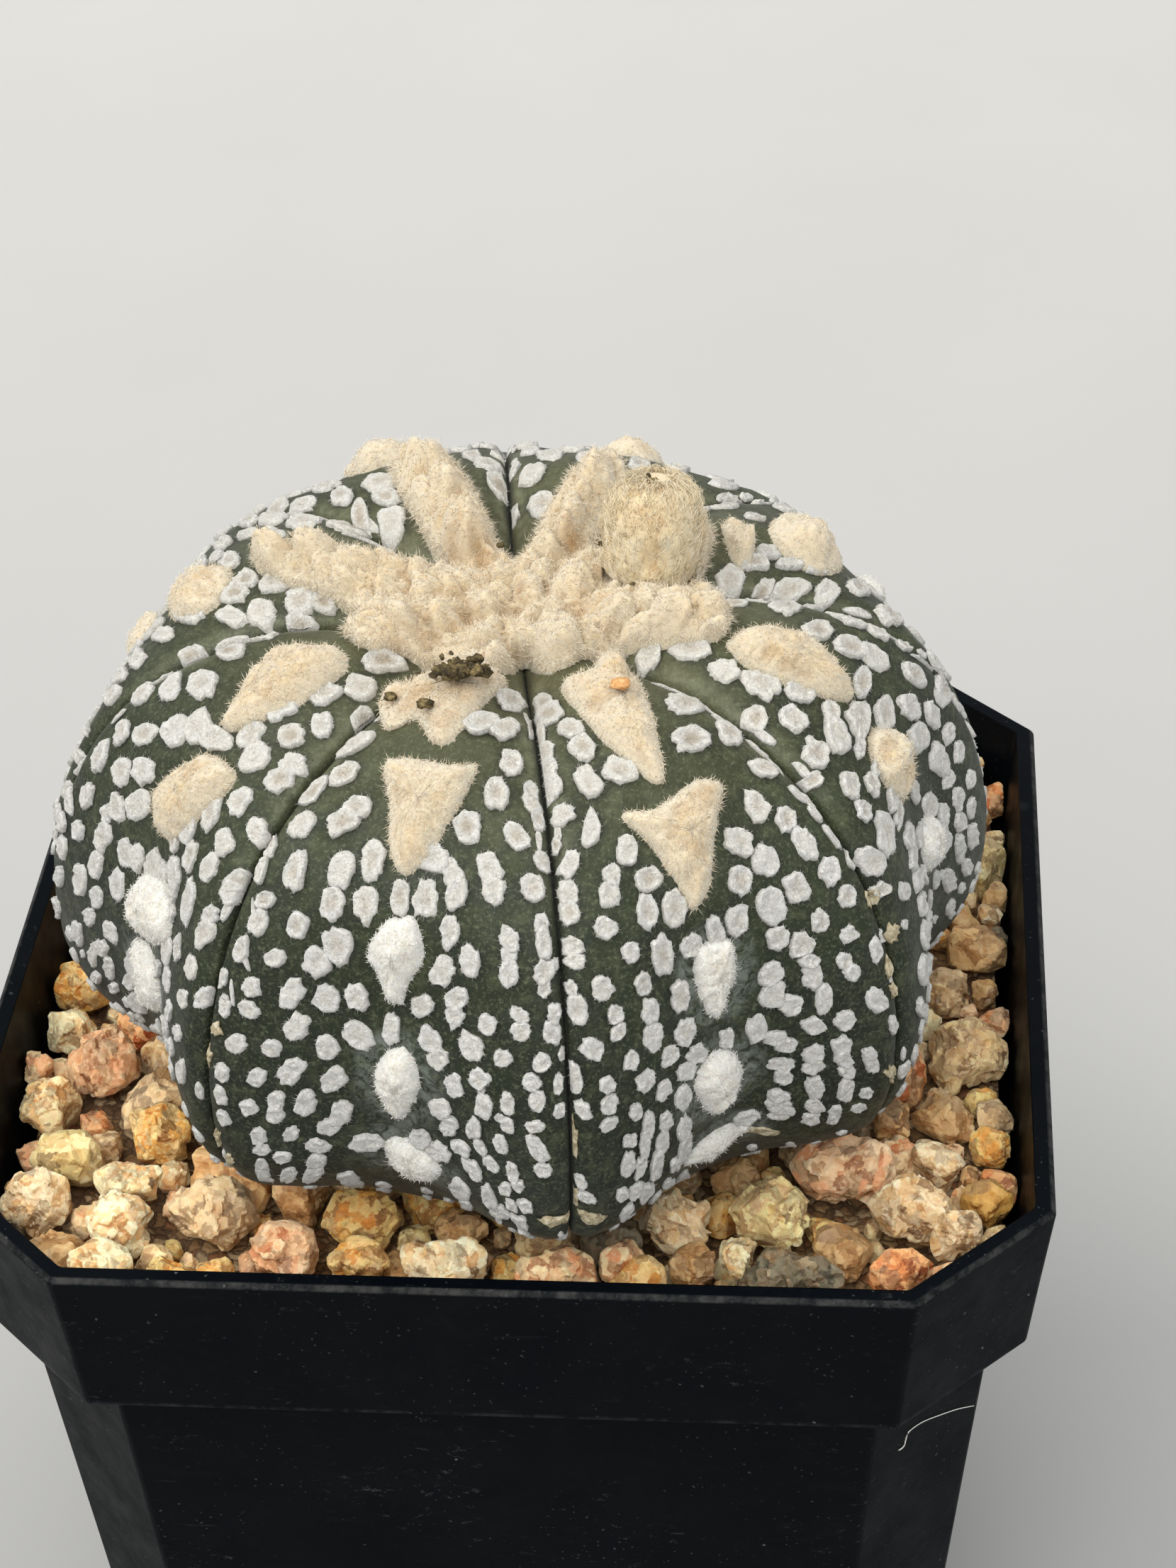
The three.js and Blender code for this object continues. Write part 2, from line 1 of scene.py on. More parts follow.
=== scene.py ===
# Looks of a star cactus in a square nursery pot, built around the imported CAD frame.
# Lengths in this file are millimetres unless a name says otherwise; meshes are scaled to metres when made.
import math

import bmesh
import bpy
import numpy as np
from mathutils import Matrix, Vector


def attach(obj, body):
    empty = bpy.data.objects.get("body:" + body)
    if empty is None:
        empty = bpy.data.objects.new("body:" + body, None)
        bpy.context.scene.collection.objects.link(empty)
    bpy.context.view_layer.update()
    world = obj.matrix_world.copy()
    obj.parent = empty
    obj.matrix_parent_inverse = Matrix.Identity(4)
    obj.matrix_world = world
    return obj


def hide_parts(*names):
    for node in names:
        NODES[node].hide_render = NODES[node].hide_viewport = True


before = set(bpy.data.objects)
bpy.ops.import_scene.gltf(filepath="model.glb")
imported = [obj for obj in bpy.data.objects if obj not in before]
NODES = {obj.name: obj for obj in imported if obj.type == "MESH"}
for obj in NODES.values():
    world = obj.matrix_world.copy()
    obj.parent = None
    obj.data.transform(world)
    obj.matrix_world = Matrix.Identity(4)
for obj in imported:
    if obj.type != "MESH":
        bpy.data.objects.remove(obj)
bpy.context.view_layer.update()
MM = 0.001

# ------------------------------------------------------------------ the plant's surface, as in the CAD source
CENTRE = np.array([0.77, -6.41, 95.64])
PLANT_A, PLANT_C = 35.66, 25.56
LEAN = (0.02063, -0.05726)
CREASES = np.array([9.3, 49.22, 96.92, 141.77, 190.81, 235.59, 280.2, 324.51])
AREOLE_ROWS = np.array([31.74, 73.74, 118.4, 166.64, 215.35, 257.94, 302.88, 348.42])
LATS = np.arange(-75, 91, 5.0)
MEAN = np.array([-0.43, -0.99, -1.43, -1.75, -1.96, -2.08, -2.12, -1.93, -1.49, -0.96, -0.52, -0.34, -0.44, -0.65, -0.87, -0.97, -0.92, -0.81, -0.64, -0.45, -0.08, 0.49, 1.01, 1.23, 1.18, 1.04, 0.83, 0.49, -0.47, -1.72, -2.72, -3.5, -4.19, -4.79])
LOBE = np.array([0.92, 0.91, 0.89, 0.85, 0.8, 0.74, 0.66, 0.31, -0.4, -1.23, -1.91, -2.2, -2.18, -2.13, -2.07, -2.0, -1.91, -1.79, -1.64, -1.47, -1.25, -0.95, -0.63, -0.33, -0.03, 0.28, 0.54, 0.71, 0.84, 0.94, 0.96, 0.82, 0.51, 0.09])

AXIS = np.array([math.tan(LEAN[0]), math.tan(LEAN[1]), 1.0])
AXIS /= np.linalg.norm(AXIS)
EAST = np.array([1.0, 0, 0]) - AXIS * AXIS[0]
EAST /= np.linalg.norm(EAST)
NORTH = np.cross(AXIS, EAST)
BASIS = np.stack([EAST, NORTH, AXIS])

_kn = sorted([(a, 1.0) for a in CREASES] + [(a, 0.0) for a in AREOLE_ROWS])
_kx = np.array([_kn[-1][0] - 360] + [k[0] for k in _kn] + [_kn[0][0] + 360])
_ky = np.array([_kn[-1][1]] + [k[1] for k in _kn] + [_kn[0][1]])


def phase(az):
    return np.interp(np.mod(az, 360), _kx, _ky)


def wrap(a):
    return (a + 180) % 360 - 180


def nearest_line(az, lines):
    """Signed difference in degrees to the nearest of some azimuths."""
    d = wrap(np.asarray(az)[..., None] - lines)
    i = np.abs(d).argmin(-1)
    return np.take_along_axis(d, i[..., None], -1)[..., 0]


def crease_mm(az, lat):
    return nearest_line(az, CREASES) * np.pi / 180 * PLANT_A * np.maximum(np.cos(np.radians(lat)), 0.02)


def skin(az, lat, lift=0.0, groove=True):
    """A point over the skin at an azimuth and latitude in degrees, lift above it."""
    az, lat, lift = np.broadcast_arrays(np.asarray(az, float), np.asarray(lat, float), np.asarray(lift, float))
    p, t = np.radians(az), np.radians(lat)
    ct, st = np.cos(t), np.sin(t)
    n = np.stack([ct * np.cos(p) / PLANT_A, ct * np.sin(p) / PLANT_A, st / PLANT_C], -1)
    n /= np.linalg.norm(n, axis=-1, keepdims=True)
    d = np.interp(lat, LATS, MEAN) + np.interp(lat, LATS, LOBE) * np.cos(np.pi * phase(az)) * np.clip(ct * 3, 0, 1) + lift
    if groove:
        x = np.abs(crease_mm(az, lat))
        open_top = np.clip((lat - 25) / 40, 0, 1)
        fade = np.clip((84 - lat) / 8, 0, 1) * np.clip((lat + 60) / 20, 0, 1)
        w = 0.14 + 0.13 * open_top
        d = d - fade * (1.0 * np.exp(-((x / w) ** 1.4)) + (0.24 + 0.28 * open_top) * np.exp(-((x / (1.0 + 0.6 * open_top)) ** 2)))
        d = d + fade * 0.16 * np.exp(-(((x - 1.6) / 0.9) ** 2))
    base = np.stack([PLANT_A * ct * np.cos(p), PLANT_A * ct * np.sin(p), PLANT_C * st], -1)
    return CENTRE + (base + n * d[..., None]) @ BASIS


def skin_frame(az, lat):
    """Point, unit vectors east and up along the skin, outward normal, and millimetres for each degree of azimuth and latitude."""
    az, lat = np.asarray(az, float), np.asarray(lat, float)
    P = skin(az, lat, 0, False)
    ea = skin(az + 0.5, lat, 0, False) - skin(az - 0.5, lat, 0, False)
    el = skin(az, lat + 0.5, 0, False) - skin(az, lat - 0.5, 0, False)
    ra, rl = np.linalg.norm(ea, axis=-1), np.linalg.norm(el, axis=-1)
    e1 = ea / ra[..., None]
    n = np.cross(e1, el)
    n /= np.linalg.norm(n, axis=-1, keepdims=True)
    return P, e1, np.cross(n, e1), n, ra, rl


def plant_local(P):
    """Azimuth, latitude and height over the plain skin of points near the plant."""
    q = (np.asarray(P, float) - CENTRE) @ BASIS.T
    az = np.degrees(np.arctan2(q[..., 1], q[..., 0])) % 360
    lat = np.degrees(np.arctan2(q[..., 2] / PLANT_C, np.hypot(q[..., 0], q[..., 1]) / PLANT_A))
    for _ in range(3):
        S = skin(az, lat, 0, False)
        _, e1, e2, n, ra, rl = skin_frame(az, lat)
        dv = np.asarray(P, float) - S
        lat = np.clip(lat + 0.8 * (dv * e2).sum(-1) / np.maximum(rl, 0.05), -89, 89)
    S = skin(az, lat, 0, False)
    _, e1, e2, n, ra, rl = skin_frame(az, lat)
    return az, lat, ((np.asarray(P, float) - S) * n).sum(-1), n, S


# ------------------------------------------------------------------ noise
def _hash(i, j, k, seed):
    h = (i * 374761393 + j * 668265263 + k * 1442695041 + seed * 1274126177) & 0xFFFFFFFF
    h = ((h ^ (h >> 13)) * 1274126177) & 0xFFFFFFFF
    return ((h ^ (h >> 16)) & 0xFFFFFFFF) / 4294967295.0


def vnoise(P, cell, seed=0):
    """Smooth noise from -1 to 1, with lumps about cell across."""
    Q = np.asarray(P, float) / cell
    i = np.floor(Q).astype(np.int64)
    f = Q - i
    f = f * f * f * (f * (f * 6 - 15) + 10)
    out = 0.0
    for a in (0, 1):
        for b in (0, 1):
            for c in (0, 1):
                w = (f[..., 0] if a else 1 - f[..., 0]) * (f[..., 1] if b else 1 - f[..., 1]) * (f[..., 2] if c else 1 - f[..., 2])
                out = out + w * _hash(i[..., 0] + a, i[..., 1] + b, i[..., 2] + c, seed)
    return out * 2 - 1


def fbm(P, cell, seed=0, octaves=3, gain=0.5):
    out, amp = 0.0, 1.0
    for o in range(octaves):
        out = out + amp * vnoise(P, cell / 2**o, seed + o * 17)
        amp *= gain
    return out


def smooth(x, a, b):
    t = np.clip((x - a) / (b - a), 0, 1)
    return t * t * (3 - 2 * t)


# ------------------------------------------------------------------ meshes
class Shape:
    """Vertices, faces and named point values gathered for one mesh."""

    def __init__(self):
        self.v, self.f, self.a, self.k, self.n = [], [], {}, [], 0

    def add(self, V, faces, mat=0, **values):
        V = np.asarray(V, float).reshape(-1, 3)
        for F in faces:
            F = np.asarray(F, np.int64)
            if len(F):
                F = F.reshape(-1, F.shape[-1])
                self.f.append(F + self.n)
                self.k.append(np.full(len(F), mat, np.int32))
        for k in set(self.a) | set(values):
            x = values.get(k, 0.0)
            x = np.full(len(V), float(x)) if np.isscalar(x) else np.asarray(x, float).ravel()
            self.a.setdefault(k, [np.zeros(self.n)] if self.n else []).append(x)
        self.v.append(V)
        self.n += len(V)
        return self

    def tris(self):
        return sum(len(F) * (F.shape[1] - 2) for F in self.f)


TOTAL = {"tris": 0}


def make(name, shape, material, replaces=(), flat=False):
    me = bpy.data.meshes.new(name)
    V = (np.concatenate(shape.v) * MM).astype(np.float32)
    me.vertices.add(len(V))
    me.vertices.foreach_set("co", V.ravel())
    loops = np.concatenate([F.ravel() for F in shape.f]).astype(np.int32)
    sizes = np.concatenate([np.full(len(F), F.shape[1]) for F in shape.f])
    starts = np.concatenate([[0], np.cumsum(sizes)[:-1]]).astype(np.int32)
    me.loops.add(len(loops))
    me.loops.foreach_set("vertex_index", loops)
    me.polygons.add(len(sizes))
    me.polygons.foreach_set("loop_start", starts)
    me.polygons.foreach_set("material_index", np.concatenate(shape.k))
    me.update(calc_edges=True)
    me.validate()
    for k, parts in shape.a.items():
        at = me.attributes.new(k, "FLOAT", "POINT")
        at.data.foreach_set("value", np.concatenate(parts).astype(np.float32))
    me.polygons.foreach_set("use_smooth", np.full(len(me.polygons), not flat))
    o = bpy.data.objects.new(name, me)
    bpy.context.scene.collection.objects.link(o)
    for m in material if isinstance(material, (list, tuple)) else [material]:
        me.materials.append(m)
    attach(o, "root")
    if replaces:
        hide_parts(*([replaces] if isinstance(replaces, str) else replaces))
    t = shape.tris()
    TOTAL["tris"] += t
    if t > 200000:
        raise ValueError(f"{name} has {t} triangles")
    return o


def ring_faces(rings, n, start=0, close=True):
    """Quads between stacked rings of n points."""
    k = np.arange(rings - 1)[:, None] * n
    i = np.arange(n if close else n - 1)[None, :]
    j = (i + 1) % n
    return np.stack([start + k + i, start + k + j, start + k + n + j, start + k + n + i], -1).reshape(-1, 4)


def hairs(path, rad, seed=1):
    """Closed three-sided tapering hairs. path is (N, K, 3), rad the radius at each point but the tip."""
    N, K = path.shape[:2]
    t = np.gradient(path, axis=1)
    t /= np.linalg.norm(t, axis=-1, keepdims=True) + 1e-9
    ref = np.where((np.abs(t[..., 2:3]) < 0.8), np.array([0, 0, 1.0]), np.array([1.0, 0, 0]))
    u = np.cross(t, ref)
    u /= np.linalg.norm(u, axis=-1, keepdims=True) + 1e-9
    w = np.cross(t, u)
    a = np.array([0, 2.0944, 4.1888]) + np.random.default_rng(seed).uniform(0, 6.28, (N, 1))
    c, s = np.cos(a)[:, None, :, None], np.sin(a)[:, None, :, None]
    rad = np.broadcast_to(np.asarray(rad, float), (N, K - 1))
    R = path[:, :-1, None, :] + rad[..., None, None] * (c * u[:, :-1, None, :] + s * w[:, :-1, None, :])
    V = np.concatenate([R.reshape(N, -1, 3), path[:, -1:, :]], 1)
    m = 3 * (K - 1) + 1
    q, tr = [], [(0, 1, 2)]
    for k in range(K - 2):
        for i in range(3):
            j = (i + 1) % 3
            q.append((3 * k + i, 3 * k + 3 + i, 3 * k + 3 + j, 3 * k + j))
    for i in range(3):
        tr.append((3 * (K - 2) + i, m - 1, 3 * (K - 2) + (i + 1) % 3))
    off = (np.arange(N) * m)[:, None, None]
    F = [np.array(tr)[None] + off]
    if q:
        F.append(np.array(q)[None] + off)
    return V.reshape(-1, 3), [x.reshape(-1, x.shape[-1]) for x in F], m


def unit(v):
    return v / (np.linalg.norm(v, axis=-1, keepdims=True) + 1e-9)


# ------------------------------------------------------------------ materials
def srgb(r, g, b):
    def f(c):
        c /= 255
        return c / 12.92 if c <= 0.04045 else ((c + 0.055) / 1.055) ** 2.4

    return (f(r), f(g), f(b), 1.0)


class Mat:
    def __init__(self, name, rough=0.8, **sockets):
        self.m = bpy.data.materials.new(name)
        self.m.use_nodes = True
        self.t = self.m.node_tree
        self.t.nodes.clear()
        out = self.t.nodes.new("ShaderNodeOutputMaterial")
        self.b = self.t.nodes.new("ShaderNodeBsdfPrincipled")
        self.t.links.new(self.b.outputs[0], out.inputs[0])
        self.b.inputs["Roughness"].default_value = rough
        for k, v in sockets.items():
            self.b.inputs[k.replace("_", " ")].default_value = v
        self.pos = self.t.nodes.new("ShaderNodeTexCoord").outputs["Object"]

    def link(self, a, b):
        self.t.links.new(a, b)
        return self

    def set(self, socket, value):
        if hasattr(value, "is_output"):
            self.t.links.new(value, self.b.inputs[socket])
        else:
            self.b.inputs[socket].default_value = value
        return self

    def _in(self, node, i, v):
        if hasattr(v, "is_output"):
            self.t.links.new(v, node.inputs[i])
        elif v is not None:
            node.inputs[i].default_value = v

    def attr(self, name):
        n = self.t.nodes.new("ShaderNodeAttribute")
        n.attribute_name = name
        return n.outputs["Fac"]

    def noise(self, size, detail=3.0, rough=0.55, distort=0.0, vec=None, color=False):
        """Noise with lumps about size mm across."""
        n = self.t.nodes.new("ShaderNodeTexNoise")
        self.t.links.new(vec or self.pos, n.inputs["Vector"])
        n.inputs["Scale"].default_value = 1000.0 / size
        n.inputs["Detail"].default_value = detail
        n.inputs["Roughness"].default_value = rough
        n.inputs["Distortion"].default_value = distort
        return n.outputs["Color" if color else "Fac"]

    def cells(self, size, feature="F1", out="Distance", vec=None, rand=1.0):
        n = self.t.nodes.new("ShaderNodeTexVoronoi")
        n.feature = feature
        self.t.links.new(vec or self.pos, n.inputs["Vector"])
        n.inputs["Scale"].default_value = 1000.0 / size
        n.inputs["Randomness"].default_value = rand
        return n.outputs[out]

    def warp(self, size, amount):
        """Position pushed about by noise, for broken cell edges; amount in mm."""
        c = self.noise(size, 2, color=True)
        s = self.t.nodes.new("ShaderNodeVectorMath")
        s.operation = "SUBTRACT"
        self.t.links.new(c, s.inputs[0])
        s.inputs[1].default_value = (0.5, 0.5, 0.5)
        k = self.t.nodes.new("ShaderNodeVectorMath")
        k.operation = "SCALE"
        self.t.links.new(s.outputs[0], k.inputs[0])
        k.inputs["Scale"].default_value = amount * MM * 2
        a = self.t.nodes.new("ShaderNodeVectorMath")
        a.operation = "ADD"
        self.t.links.new(self.pos, a.inputs[0])
        self.t.links.new(k.outputs[0], a.inputs[1])
        return a.outputs[0]

    def stretch(self, sx, sy, sz, vec=None):
        n = self.t.nodes.new("ShaderNodeMapping")
        self.t.links.new(vec or self.pos, n.inputs["Vector"])
        n.inputs["Scale"].default_value = (sx, sy, sz)
        return n.outputs[0]

    def ramp(self, fac, stops, mode="LINEAR"):
        n = self.t.nodes.new("ShaderNodeValToRGB")
        n.color_ramp.interpolation = mode
        e = n.color_ramp.elements
        while len(e) < len(stops):
            e.new(0.5)
        for x, (p, c) in zip(e, stops):
            x.position = p
            x.color = c if len(c) == 4 else (*c, 1)
        self._in(n, 0, fac)
        return n.outputs["Color"]

    def band(self, fac, lo, hi, a=0.0, b=1.0):
        """fac from lo to hi becomes a to b, clamped."""
        n = self.t.nodes.new("ShaderNodeMapRange")
        self._in(n, 0, fac)
        for i, v in enumerate((lo, hi, a, b)):
            n.inputs[i + 1].default_value = v
        return n.outputs[0]

    def mix(self, fac, a, b, blend="MIX"):
        n = self.t.nodes.new("ShaderNodeMix")
        n.data_type = "RGBA"
        n.blend_type = blend
        n.clamp_factor = True
        self._in(n, 0, fac)
        self._in(n, 6, a)
        self._in(n, 7, b)
        return n.outputs[2]

    def math(self, op, a, b=None, c=None):
        n = self.t.nodes.new("ShaderNodeMath")
        n.operation = op
        for i, v in enumerate((a, b, c)):
            self._in(n, i, v)
        return n.outputs[0]

    def height(self):
        s = self.t.nodes.new("ShaderNodeSeparateXYZ")
        self.t.links.new(self.pos, s.inputs[0])
        return s.outputs[2]

    def bump(self, h, mm, strength=1.0, normal=None):
        n = self.t.nodes.new("ShaderNodeBump")
        n.inputs["Strength"].default_value = strength
        n.inputs["Distance"].default_value = mm * MM
        self.t.links.new(h, n.inputs["Height"])
        if normal:
            self.t.links.new(normal, n.inputs["Normal"])
        return n.outputs[0]

    def done(self, color=None, normal=None, rough=None):
        if color is not None:
            self.set("Base Color", color)
        if normal is not None:
            self.set("Normal", normal)
        if rough is not None:
            self.set("Roughness", rough)
        return self.m


def skin_material():
    m = Mat("skin_green", 0.6, Specular_IOR_Level=0.35, Sheen_Weight=0.04, Sheen_Roughness=0.5)
    up = m.attr("up")
    base = m.ramp(up, [(0.0, srgb(14, 22, 6)), (0.35, srgb(22, 31, 10)), (0.62, srgb(43, 50, 27)), (0.85, srgb(74, 75, 49)), (1.0, srgb(90, 86, 60))])
    big = m.noise(7.0, 4, 0.6)
    base = m.mix(m.band(big, 0.35, 0.7), base, m.mix(1.0, base, srgb(190, 192, 166), "MULTIPLY"))
    streak = m.noise(1.2, 5, 0.65, 0.3)
    base = m.mix(m.band(streak, 0.48, 0.72, 0, 0.55), base, m.mix(0.5, base, srgb(106, 112, 80)))
    specks = m.cells(0.45)
    base = m.mix(m.band(specks, 0.0, 0.22, 0.30, 0.0), base, srgb(104, 110, 84))
    # painted shade: the skin darkened close round each fleck, in the creases and about the areoles, where the raised
    # felt meets it
    base = m.mix(m.band(m.attr("near"), 0.2, 0.95, 0.0, 0.6), base, srgb(24, 30, 20))
    # the thin dried film about the lower areoles
    film = m.math("MULTIPLY", m.attr("film"), m.band(m.noise(0.9, 5, 0.7, 0.8), 0.40, 0.60))
    base = m.mix(m.math("MULTIPLY", film, 0.75), base, srgb(118, 124, 116))
    lip = m.math("MULTIPLY", m.attr("lip"), m.band(m.noise(0.9, 3), 0.35, 0.65, 0.25, 1.0))
    base = m.mix(m.math("MULTIPLY", lip, 0.5), base, srgb(122, 124, 98))
    # painted shade: the crease's groove is painted near black
    base = m.mix(m.attr("groove"), base, srgb(14, 18, 11))
    # a grainy skin: minute pale and dark flecks
    grain = m.noise(0.28, 3, 0.7)
    base = m.mix(m.band(grain, 0.52, 0.70, 0.0, 0.55), base, m.mix(0.55, base, srgb(128, 134, 104)))
    base = m.mix(m.band(m.noise(0.5, 4, 0.7, 0.4), 0.40, 0.28, 0.0, 0.6), base, m.mix(1.0, base, srgb(120, 128, 108), "MULTIPLY"))
    fine = m.noise(0.22, 3, 0.6)
    cells = m.cells(0.2)
    n = m.bump(cells, 0.03, 0.8)
    n = m.bump(fine, 0.03, 0.7, n)
    n = m.bump(m.noise(1.6, 3), 0.12, 0.5, n)
    rough = m.band(m.noise(2.5, 4), 0.3, 0.7, 0.52, 0.74)
    return m.done(base, n, rough)


def felt_material(name, pale, warm, hollow, sheen=0.3, soft=0.0, fine=1.0, dusky=0.4, relief=1.0):
    m = Mat(name, 1.0, Specular_IOR_Level=0.08, Sheen_Weight=sheen, Sheen_Roughness=0.6)
    if soft:
        m.b.inputs["Subsurface Weight"].default_value = soft
        m.b.inputs["Subsurface Radius"].default_value = (1.0, 0.75, 0.5)
        m.b.inputs["Subsurface Scale"].default_value = 0.9 * MM
    tone = m.attr("tone")
    blot = m.band(m.noise(0.8, 4, 0.7, 0.5), 0.38, 0.66)
    base = m.mix(m.math("MULTIPLY", tone, m.math("ADD", m.math("MULTIPLY", blot, 0.7), 0.45)), pale, warm)
    # the hollow colour is painted shade where the felt dips; on the bud's hairs it is a random tan, and round the old
    # flower the felt is darker
    base = m.mix(m.attr("hollow"), base, hollow)
    dusk = m.mix(1.0, base, srgb(208, 198, 178), "MULTIPLY")
    base = m.mix(m.band(m.noise(0.35 * fine, 4, 0.75, 0.5), 0.46, 0.70, 0.0, dusky), base, dusk)
    tuft = m.noise(0.13 * fine, 4, 0.8, 0.8)
    # painted shade in the pits of the fine bump
    base = m.mix(m.band(tuft, 0.32, 0.50, 0.6 * dusky, 0.0), base, m.mix(1.0, base, srgb(170, 158, 134), "MULTIPLY"))
    n = m.bump(tuft, 0.16, relief)
    n = m.bump(m.noise(0.4 * fine, 4, 0.75, 0.5), 0.3, relief, n)
    return m.done(base, n)


STONE_TYPES = {
    # main, second, third mineral and accent, with how glassy it is and the size of its crystals in mm
    "ochre": ((236, 184, 98), (252, 226, 162), (206, 138, 56), (128, 92, 54), 0.45, 1.05),
    "cream": ((242, 214, 164), (254, 242, 208), (214, 170, 112), (134, 112, 84), 0.40, 1.0),
    "pink": ((240, 190, 146), (252, 222, 182), (216, 146, 100), (158, 120, 92), 0.40, 1.1),
    "grey": ((204, 180, 142), (248, 224, 178), (166, 144, 112), (108, 94, 74), 0.60, 1.3),
    "olive": ((208, 192, 136), (234, 222, 174), (184, 164, 106), (134, 118, 78), 0.70, 2.6),
    "dark": ((94, 92, 76), (128, 124, 104), (64, 64, 52), (176, 162, 130), 0.50, 1.0),
    "orange": ((214, 146, 92), (240, 196, 146), (184, 96, 50), (130, 74, 46), 0.40, 1.1),
    "tan": ((200, 162, 110), (232, 202, 150), (162, 122, 74), (104, 80, 54), 0.55, 1.8),
}


def stone_material(kind, variant, shift=(1, 1, 1)):
    a, b, c, d, glass, size = STONE_TYPES[kind]
    a, b, c, d = (srgb(*[min(255, x * s) for x, s in zip(k, shift)]) for k in (a, b, c, d))
    m = Mat(f"stone_{kind}_{variant}", 0.7, Specular_IOR_Level=0.5, Subsurface_Weight=0.4, Subsurface_Scale=1.3 * MM)
    m.b.inputs["Subsurface Radius"].default_value = (1.0, 0.6, 0.3)
    off = m.t.nodes.new("ShaderNodeMapping")
    m.t.links.new(m.pos, off.inputs["Vector"])
    off.inputs["Location"].default_value = (0.011 * variant, 0.017 * variant, 0.023 * variant)
    m.pos = off.outputs[0]
    broken = m.warp(0.7, 0.55)
    patch = m.noise(2.8, 4, 0.6, 0.8)
    base = m.ramp(patch, [(0.34, c), (0.44, a), (0.56, a), (0.66, b)])
    sep = m.t.nodes.new("ShaderNodeSeparateColor")
    m.t.links.new(m.cells(size, "F1", "Color", broken), sep.inputs[0])
    pick = m.ramp(sep.outputs[0], [(0.0, b), (0.26, a), (0.46, b), (0.54, c), (0.68, a), (0.80, b), (0.94, d)], "CONSTANT")
    base = m.mix(0.72, base, pick)
    # glassy grey quartz among the feldspar
    quartz = m.band(sep.outputs[1], 0.70, 0.74)
    base = m.mix(m.math("MULTIPLY", quartz, 0.75), base, m.mix(0.65, base, srgb(158, 138, 110)))
    small = m.t.nodes.new("ShaderNodeSeparateColor")
    m.t.links.new(m.cells(size * 0.36, "F1", "Color", broken), small.inputs[0])
    base = m.mix(m.band(small.outputs[0], 0.0, 1.0, 0.0, 0.40), base, m.mix(1.0, base, srgb(206, 180, 144), "MULTIPLY"))
    base = m.mix(m.band(small.outputs[1], 0.80, 0.84, 0.0, 0.55), base, b)
    dust = m.noise(0.4, 5, 0.75)
    base = m.mix(m.band(dust, 0.52, 0.72, 0.0, 0.4), base, b)
    rust = m.band(m.noise(1.9, 4, 0.65, 0.9), 0.56, 0.70)
    base = m.mix(m.math("MULTIPLY", rust, 0.45), base, m.mix(0.5, base, srgb(204, 130, 44)))
    dark = m.cells(2.2, "F1", "Distance", broken)
    base = m.mix(m.band(dark, 0.03, 0.10, 0.7, 0.0), base, srgb(82, 66, 46))
    # painted shade: darker and warmer in the crevices between crystal faces and where they are cut in
    base = m.mix(m.math("MULTIPLY", m.attr("cavity"), 0.35), base, m.mix(1.0, base, srgb(214, 164, 100), "MULTIPLY"))
    # every crystal breaks along its own plane
    n = m.bump(dust, 0.07, 0.8)

    def facet(color, amount, normal):
        k = m.t.nodes.new("ShaderNodeVectorMath")
        k.operation = "MULTIPLY_ADD"
        m.t.links.new(color, k.inputs[0])
        k.inputs[1].default_value = (amount,) * 3
        k.inputs[2].default_value = (-amount / 2,) * 3
        a = m.t.nodes.new("ShaderNodeVectorMath")
        a.operation = "ADD"
        m.t.links.new(k.outputs[0], a.inputs[0])
        m.t.links.new(normal, a.inputs[1])
        u = m.t.nodes.new("ShaderNodeVectorMath")
        u.operation = "NORMALIZE"
        m.t.links.new(a.outputs[0], u.inputs[0])
        return u.outputs[0]

    n = facet(m.cells(size, "F1", "Color", broken), 0.62, n)
    n = facet(m.cells(size * 0.36, "F1", "Color", broken), 0.36, n)
    rough = m.math("SUBTRACT", m.band(sep.outputs[2], 0.4, 0.95, 0.80, 0.80 - 0.55 * glass), m.math("MULTIPLY", quartz, 0.3 * glass))
    return m.done(base, n, rough)


